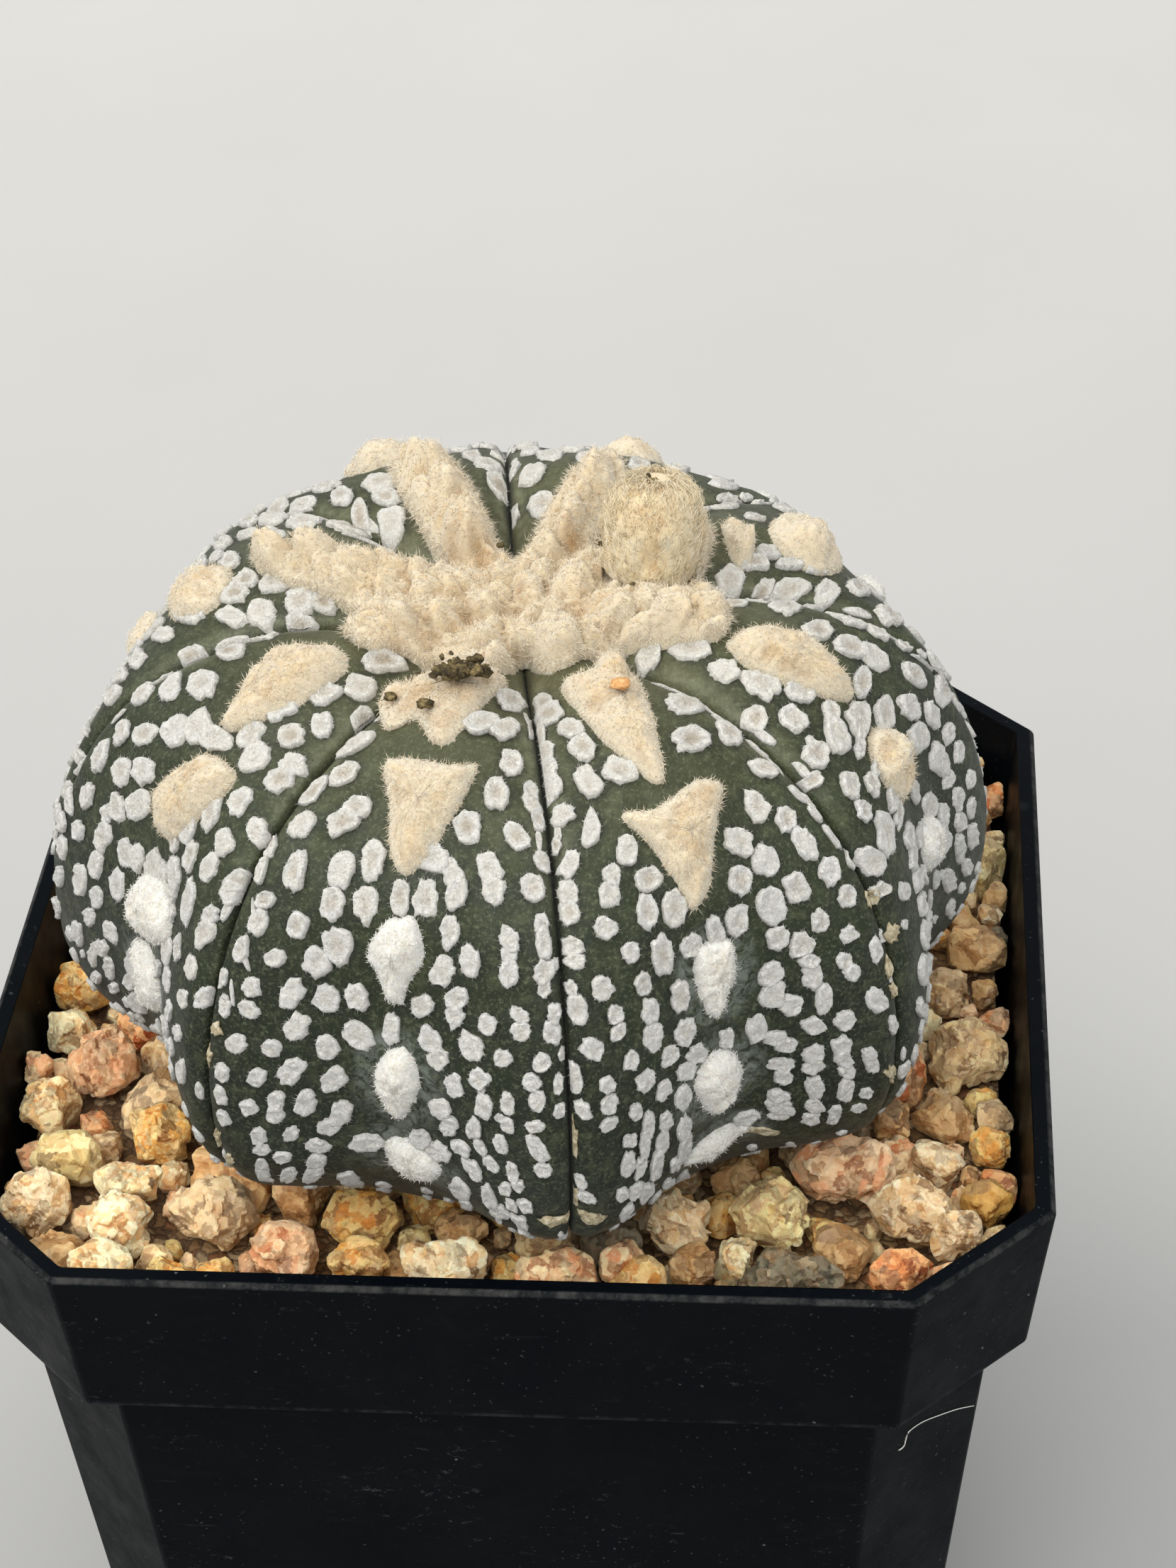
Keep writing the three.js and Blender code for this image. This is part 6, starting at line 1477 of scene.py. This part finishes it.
def free_stone(rec, others, level, seed, bed=True, rough=1.0):
    """A stone that isn't a CAD node: an irregular polyhedron, cut back from its neighbours, the wall and the plant, and
    carried down to the grit that it stands on."""
    _, x, y, z, rx, ry, rz = rec
    c = np.array([x, y, z])
    rng = np.random.default_rng(seed)
    k = np.arange(17)
    uu = -1 + (2 * (k + 0.5)) / 17
    aa = k * 2.39996 + rng.uniform(0, 0.8, 17)
    ww = np.sqrt(1 - uu**2)
    D = np.stack([ww * np.cos(aa), ww * np.sin(aa), uu], -1)
    low = np.where(uu < 0, max(1.0, (z - float(bed_height(x, y)) + 0.25) / rz) if bed else 1.0, 1.0)
    E = np.stack([np.full(17, rx), np.full(17, ry), rz * low], -1)
    N = unit(D / E)
    H = (D * E * N).sum(1) * rng.uniform(0.84, 1.06, 17)
    N, H = list(N), list(H)
    for o in others:
        n = np.array([o[1] - x, o[2] - y, (o[3] - z) * 0.4])
        dist = np.linalg.norm(n)
        if dist < 0.3 or dist > 11:
            continue
        n /= dist
        a = np.linalg.norm(np.array([rx, ry, rz]) * n) * 1.05
        b = np.linalg.norm(np.array(o[4:7]) * n) * 1.05
        if a + b < dist - 0.2:
            continue
        N.append(n)
        H.append(dist * a / (a + b) - 0.12)
    wn, wh = wall_planes(c)
    N += wn
    H += wh
    _, _, gap, nb, S = plant_local(c[None])
    if gap[0] < max(rx, ry, rz) * 1.6:
        N.append(-nb[0])
        H.append(gap[0] - 0.12)
    H = np.array(H)
    if H.min() < 0.22:
        return None
    return grind(c, np.array(N), H, level, seed, rough)


def fill_stones():
    """Centres and half sizes of the grit that fills what the large stones leave free, all round the plant."""
    rng = np.random.default_rng(404)
    kinds = ["cream"] * 7 + ["ochre"] * 5 + ["pink"] * 5 + ["tan"] * 4 + ["grey"] * 4 + ["olive"] * 2 + ["orange"] * 1 + ["dark"] * 1
    placed = [s for s in STONES + SMALL_SEEN]
    out = []

    def room(x, y, z, r, slack):
        for o in placed:
            if (o[1] - x) ** 2 + (o[2] - y) ** 2 + 0.5 * (o[3] - z) ** 2 < (0.82 * (o[4] + o[5]) / 2 + r * slack) ** 2:
                return False
        return True

    for size, tries, slack in ((3.1, 2600, 0.86), (2.5, 2600, 0.84), (1.9, 3200, 0.80), (1.45, 3600, 0.8), (1.1, 2600, 0.85)):
        for _ in range(tries):
            x, y = rng.uniform(-40.2, 40.2, 2)
            r = size * rng.uniform(0.88, 1.12)
            if size < 1.2 and not (y < -24 or (x > 27 and y < 26) or (x < -29 and y < 8)):
                continue
            if abs(x) + r * 0.9 > inner_half(74) + 0.2 or abs(y) + r * 0.9 > inner_half(74) + 0.2:
                continue
            if abs(x) + abs(y) + r > 2 * inner_half(74) - 9.0:
                continue
            z = float(bed_height(x, y)) + r * rng.uniform(0.25, 0.75) + 0.7 * float(smooth(x, 33, 38))
            if x > 31 and -12 < y < 27 and r > 1.75:
                continue
            gap = plant_local(np.array([[x, y, z]]))[2][0]
            if gap < r * 0.75:
                continue
            if not room(x, y, z, r, slack):
                continue
            rec = (kinds[rng.integers(len(kinds))], x, y, z, r * rng.uniform(0.85, 1.2), r * rng.uniform(0.85, 1.15), r * rng.uniform(0.75, 1.0))
            placed.append(rec)
            out.append(rec)
    return out


def bed_shape():
    """The fine grit that everything stands on."""
    n, R = 160, 40
    th = np.linspace(0, 2 * np.pi, n, endpoint=False)
    half = 38.9

    def outline(t):
        c, s = np.cos(t), np.sin(t)
        r = np.minimum(half / np.maximum(np.abs(c), 1e-6), half / np.maximum(np.abs(s), 1e-6))
        return np.minimum(r, (2 * half - 9.1) / np.maximum(np.abs(c) + np.abs(s), 1e-6))

    r0 = outline(th)
    f = np.linspace(1.0, 0.42, R)
    X = r0 * np.cos(th) * f[:, None]
    Y = r0 * np.sin(th) * f[:, None]
    Z = bed_height(X, Y) - 0.55
    P = np.stack([X, Y, Z], -1)
    P[..., 2] += 0.45 * fbm(P * [1, 1, 0.2], 1.8, 12, 3) + 0.25 * np.abs(fbm(P * [1, 1, 0.2], 0.8, 14, 2))
    # clear of the plant
    az, la, gap, nn, S = plant_local(P.reshape(-1, 3))
    gap = gap.reshape(P.shape[:2])
    P[..., 2] = np.where(gap < 0.3, P[..., 2] - np.clip(0.3 - gap, 0, 6) * 1.4, P[..., 2])
    low = np.stack([X[0] * 0.985, Y[0] * 0.985, np.full(n, 67.5)], -1)
    low2 = np.stack([X[-1], Y[-1], np.full(n, 67.5)], -1)
    V = np.concatenate([low[None], P, low2[None]]).reshape(-1, 3)
    F = ring_faces(R + 2, n)
    i = np.arange(n)
    j = (i + 1) % n
    last = (R + 1) * n
    F2 = np.stack([last + i, last + j, j, i], -1)
    s = Shape()
    s.add(V, [F, F2])
    return s


# ------------------------------------------------------------------ pot
def pot_object(mat):
    """The pot's own CAD faces, with each arris rounded as a moulding's is, and slightly uneven walls."""
    src = NODES["pot"].data
    bm = bmesh.new()
    bm.from_mesh(src)
    bmesh.ops.remove_doubles(bm, verts=bm.verts, dist=2e-6)
    bmesh.ops.dissolve_limit(bm, angle_limit=math.radians(1.0), verts=bm.verts, edges=bm.edges)
    layer = bm.edges.layers.float.new("bevel_weight_edge")
    groups = {"upright": [], "rim": [], "step": [], "hole": []}
    for e in bm.edges:
        if len(e.link_faces) != 2 or e.calc_face_angle(0.0) < math.radians(12):
            continue
        a, b = e.verts[0].co, e.verts[1].co
        m = (a + b) / 2
        vertical = abs(a.z - b.z) > 0.6 * (a - b).length
        if max(abs(m.x), abs(m.y)) < 0.024:
            groups["hole"].append(e)
        elif vertical:
            groups["upright"].append(e)
        elif abs(m.z - 0.0656) < 0.0004 and abs(m.x) + abs(m.y) > 0.0395:
            groups["step"].append(e)
        else:
            groups["rim"].append(e)
    for name, w in (("upright", 1.0), ("rim", 0.30), ("step", 0.7), ("hole", 0.2)):
        for e in groups[name]:
            e[layer] = w
    me = bpy.data.meshes.new("pot_shell")
    bm.to_mesh(me)
    bm.free()
    o = bpy.data.objects.new("pot_shell", me)
    bpy.context.scene.collection.objects.link(o)
    bev = o.modifiers.new("round", "BEVEL")
    bev.limit_method = "WEIGHT"
    bev.width = 0.0009
    bev.segments = 4
    bev.use_clamp_overlap = True
    bev.miter_outer = "MITER_ARC"
    tri = o.modifiers.new("tri", "TRIANGULATE")
    tri.min_vertices = 5
    dg = bpy.context.evaluated_depsgraph_get()
    done = bpy.data.meshes.new_from_object(o.evaluated_get(dg))
    bpy.data.objects.remove(o)
    # split long faces so that the unevenness has points to live on
    bm = bmesh.new()
    bm.from_mesh(done)
    bmesh.ops.triangulate(bm, faces=bm.faces)
    for step in (0.012, 0.0075):
        edges = [e for e in bm.edges if e.calc_length() > step * 1.5]
        bmesh.ops.subdivide_edges(bm, edges=edges, cuts=1, use_grid_fill=False)
        bmesh.ops.triangulate(bm, faces=[f for f in bm.faces if len(f.verts) > 3])
    bmesh.ops.recalc_face_normals(bm, faces=bm.faces)
    V = np.array([v.co[:] for v in bm.verts]) / MM
    F = np.array([[v.index for v in f.verts] for f in bm.faces])
    bm.free()
    # moulded walls are never quite flat; the base and rim stay true
    free = smooth(V[:, 2], 1.5, 12) * smooth(V[:, 2], 79.2, 72)
    d = 0.10 * vnoise(V, 26.0, 5) * free
    N = np.stack([V[:, 0], V[:, 1], 0 * V[:, 0]], -1)
    V = V - unit(N) * np.abs(d)[:, None]
    s = Shape()
    s.add(V, [F])
    ob = make("pot_shell_moulded", s, mat, "pot")
    # crisp flats with soft arrises
    ob.data.polygons.foreach_set("use_smooth", np.ones(len(ob.data.polygons), bool))
    wn = ob.modifiers.new("flats", "WEIGHTED_NORMAL")
    wn.keep_sharp = False
    wn.weight = 100
    return ob


# ------------------------------------------------------------------ build everything
MAT = {
    "skin": skin_material(),
    "fleck": felt_material("fleck_felt", srgb(252, 252, 248), srgb(255, 252, 240), srgb(204, 190, 168), 0.2, 0.0, 0.8, 0.6),
    "cream": felt_material("cream_felt", srgb(225, 211, 183), srgb(212, 183, 136), srgb(170, 132, 82), 0.3, 0.5, 1.0, 0.45, 0.65),
    "white": felt_material("white_felt", srgb(249, 246, 236), srgb(248, 234, 204), srgb(216, 194, 152), 0.3, 0.3, 1.0, 0.45, 0.8),
    "bud": felt_material("bud_hair_coat", srgb(232, 219, 186), srgb(226, 201, 155), srgb(198, 158, 106), 0.3, 0.4, 1.6, 0.2, 0.6),
    "cream_fibre": felt_material("cream_fibres", srgb(242, 231, 208), srgb(228, 204, 160), srgb(200, 163, 110), 0.2, 0.0, 2.0, 0.12, 0.3),
    "white_fibre": felt_material("white_fibres", srgb(252, 250, 242), srgb(250, 240, 216), srgb(232, 212, 174), 0.2, 0.0, 2.0, 0.12, 0.3),
    "bud_fibre": felt_material("bud_fibres", srgb(240, 230, 204), srgb(233, 214, 172), srgb(218, 188, 138), 0.2, 0.0, 2.0, 0.1, 0.3),
    "bark": bark_material(),
    "remains": remains_material(),
    "nub": nub_material(),
    "grit": grit_material(),
    "pot": pot_material(),
    "soil": soil_material(),
}
SHIFTS = [(1.03, 1.03, 1.03), (1.07, 1.05, 1.02), (0.99, 0.98, 0.96), (1.05, 1.0, 0.93)]
ODD = {16: (1.10, 1.08, 1.00), 21: (1.0, 0.85, 0.62), 8: (1.05, 1.05, 1.05)}  # stones of their own tint
STONE_MATS = {}


def stone_mat(kind, v):
    key = (kind, v % 4)
    if key not in STONE_MATS:
        STONE_MATS[key] = stone_material(kind, 1 + v % 4, SHIFTS[v % 4])
    return STONE_MATS[key]


seen = parse(FLECKS_SEEN)
hidden = hidden_flecks()
lips = np.concatenate([sliver_rows(), crease_slivers()])
every = np.concatenate([seen, hidden, lips])

make("cactus_skin", skin_shape(every), MAT["skin"], "cactus_body")
left_half = np.abs(wrap(seen[:, 0] - 215)) < 64
make("felt_flecks_left", fleck_shape(seen[left_half], 1, 22, 22), MAT["fleck"])
make("felt_flecks_right", fleck_shape(seen[~left_half], 5, 22, 22), MAT["fleck"])
make("felt_flecks_back", fleck_shape(hidden, 2, 10, 3, levels=PLAIN_RINGS), MAT["fleck"])
make("felt_slivers", fleck_shape(lips, 3, 10, 5, (0.26, 0.2), 0.1, levels=PLAIN_RINGS), MAT["fleck"])
make("corky_scars", fleck_shape(parse(BARK), 4, 24, 0, (0.24, 0.24), 0.1, 2.2), MAT["bark"])

for i, (name, (thick, flat)) in enumerate(TUFTS.items()):
    white = name in WHITE_TUFTS
    tint = "white" if white and name not in CREAMY else "cream"
    make("felt_" + name[5:], tuft_shape(name, thick, flat, 200 + i, white), [MAT[tint], MAT[tint + "_fibre"]], name)
make("felt_crown", crown_shape(), [MAT["cream"], MAT["cream_fibre"]], "crown_wool")
make("woolly_bud", bud_shape(), [MAT["bud"], MAT["bud_fibre"]], "flower_bud")
make("old_flower", remains_shape(), MAT["remains"], "dried_flower")
make("crown_debris", debris_shape(), MAT["remains"])
make("areole_scar", nub_shape(), MAT["nub"])
make("stray_thread", thread_shape(), MAT["white_fibre"])

for i, rec in enumerate(STONES):
    node = "gravel_%02d" % (i + 1)
    c, N, H = planes_of(node)
    V, F, cav = grind(c, N, H, 14 if max(rec[4:6]) > 2.6 else 9, 300 + i, 0.45 if i + 1 in (25, 26) else (0.75 if rec[0] == "olive" else 1.0))
    s = Shape()
    s.add(V, [F], cavity=cav)
    paint = stone_material(rec[0], i + 1, ODD[i + 1]) if i + 1 in ODD else stone_mat(rec[0], i)
    make("stone_%02d" % (i + 1), s, paint, node, flat=True)

fill = fill_stones()
groups = {}
for i, rec in enumerate(SMALL_SEEN + fill):
    others = [o for o in STONES + SMALL_SEEN + fill if o is not rec and abs(o[1] - rec[1]) < 9 and abs(o[2] - rec[2]) < 9]
    big = i < len(SMALL_SEEN)
    seen_by_eye = rec[2] < -16 or rec[1] < -28 or (rec[1] > 27 and rec[2] < 30)
    level = 9 if big else 7 if seen_by_eye and max(rec[4:6]) > 1.9 else 4
    made = free_stone(rec, others, level, 500 + i)
    if made is None:
        continue
    key = (rec[0], i % 2)
    groups.setdefault(key, Shape()).add(made[0], [made[1]], cavity=made[2])
for (kind, v), s in sorted(groups.items()):
    make(f"grit_{kind}_{v + 1}", s, stone_mat(kind, v + 1), flat=True)
make("grit_bed", bed_shape(), MAT["grit"], "gravel_bed")
pot_object(MAT["pot"])
NODES["potting_mix"].data.materials.clear()
NODES["potting_mix"].data.materials.append(MAT["soil"])

# ------------------------------------------------------------------ stage, light and camera
def floor_material():
    m = Mat("pale_floor", 0.7, Specular_IOR_Level=0.3)
    base = m.ramp(m.noise(60, 3), [(0.3, srgb(201, 199, 193)), (0.7, srgb(205, 203, 197))])
    across = m.t.nodes.new("ShaderNodeSeparateXYZ")
    m.t.links.new(m.pos, across.inputs[0])
    # painted shade: the floor darkens towards the front
    base = m.mix(m.band(across.outputs[1], -0.45, -1.08, 0.0, 1.0), base, srgb(160, 160, 158))
    return m.done(base, m.bump(m.noise(0.8, 3), 0.03, 0.3))


bpy.ops.mesh.primitive_plane_add(size=6.0, location=(0, 1.0, -0.0002))
floor = bpy.context.object
floor.name = "pale_floor"
floor.data.materials.append(floor_material())


def area(name, loc, target, size, power, color=(1, 1, 1)):
    d = bpy.data.lights.new(name, "AREA")
    d.shape = "RECTANGLE"
    d.size, d.size_y = size
    d.energy = power
    d.color = color
    o = bpy.data.objects.new(name, d)
    bpy.context.scene.collection.objects.link(o)
    o.location = loc
    o.rotation_euler = (Vector(target) - Vector(loc)).to_track_quat("-Z", "Y").to_euler()
    return o


area("key_left", (-1.15, -0.35, 1.5), (0, 0, 0.08), (0.9, 0.9), 20.0, (1.0, 0.985, 0.96))
area("top_soft", (0.2, 0.2, 1.9), (0, 0, 0.08), (1.6, 1.6), 11.5, (1.0, 0.99, 0.975))
area("front_soft", (-0.1, -1.3, 1.6), (0, 0, 0.08), (1.0, 1.0), 22.5, (1.0, 0.985, 0.96))
area("fill_right", (1.4, -0.9, 0.9), (0, 0, 0.08), (1.2, 1.2), 6.5, (0.95, 0.97, 1.0))
world = bpy.data.worlds.new("studio")
bpy.context.scene.world = world
world.use_nodes = True
bg = world.node_tree.nodes["Background"]
bg.inputs[0].default_value = (0.93, 0.95, 1.0, 1)
bg.inputs[1].default_value = 0.55

cam = bpy.data.cameras.new("camera")
cam.sensor_width = 36.0
cam.sensor_fit = "AUTO"
cam.lens = 5227.2 / 2212 * 36.0
cam.clip_start, cam.clip_end = 0.01, 20.0
co = bpy.data.objects.new("camera", cam)
bpy.context.scene.collection.objects.link(co)
a, e, r = (math.radians(x) for x in (5.2387, 35.1865, -2.002))
back = Vector((math.sin(a) * math.cos(e), -math.cos(a) * math.cos(e), math.sin(e)))
right = Vector((math.cos(a), math.sin(a), 0))
upv = back.cross(right)
r0 = right * math.cos(r) + upv * math.sin(r)
r1 = -right * math.sin(r) + upv * math.cos(r)
rot = Matrix((r0, r1, back)).transposed().to_4x4()
co.matrix_world = Matrix.Translation(Vector((0.02764301, -0.24168422, 0.26693804))) @ rot
bpy.context.scene.camera = co
bpy.context.scene.view_settings.view_transform = "Standard"
bpy.context.scene.view_settings.look = "None"

print("triangles", TOTAL["tris"], "flecks", len(seen), len(hidden), len(lips), "fill stones", len(fill))
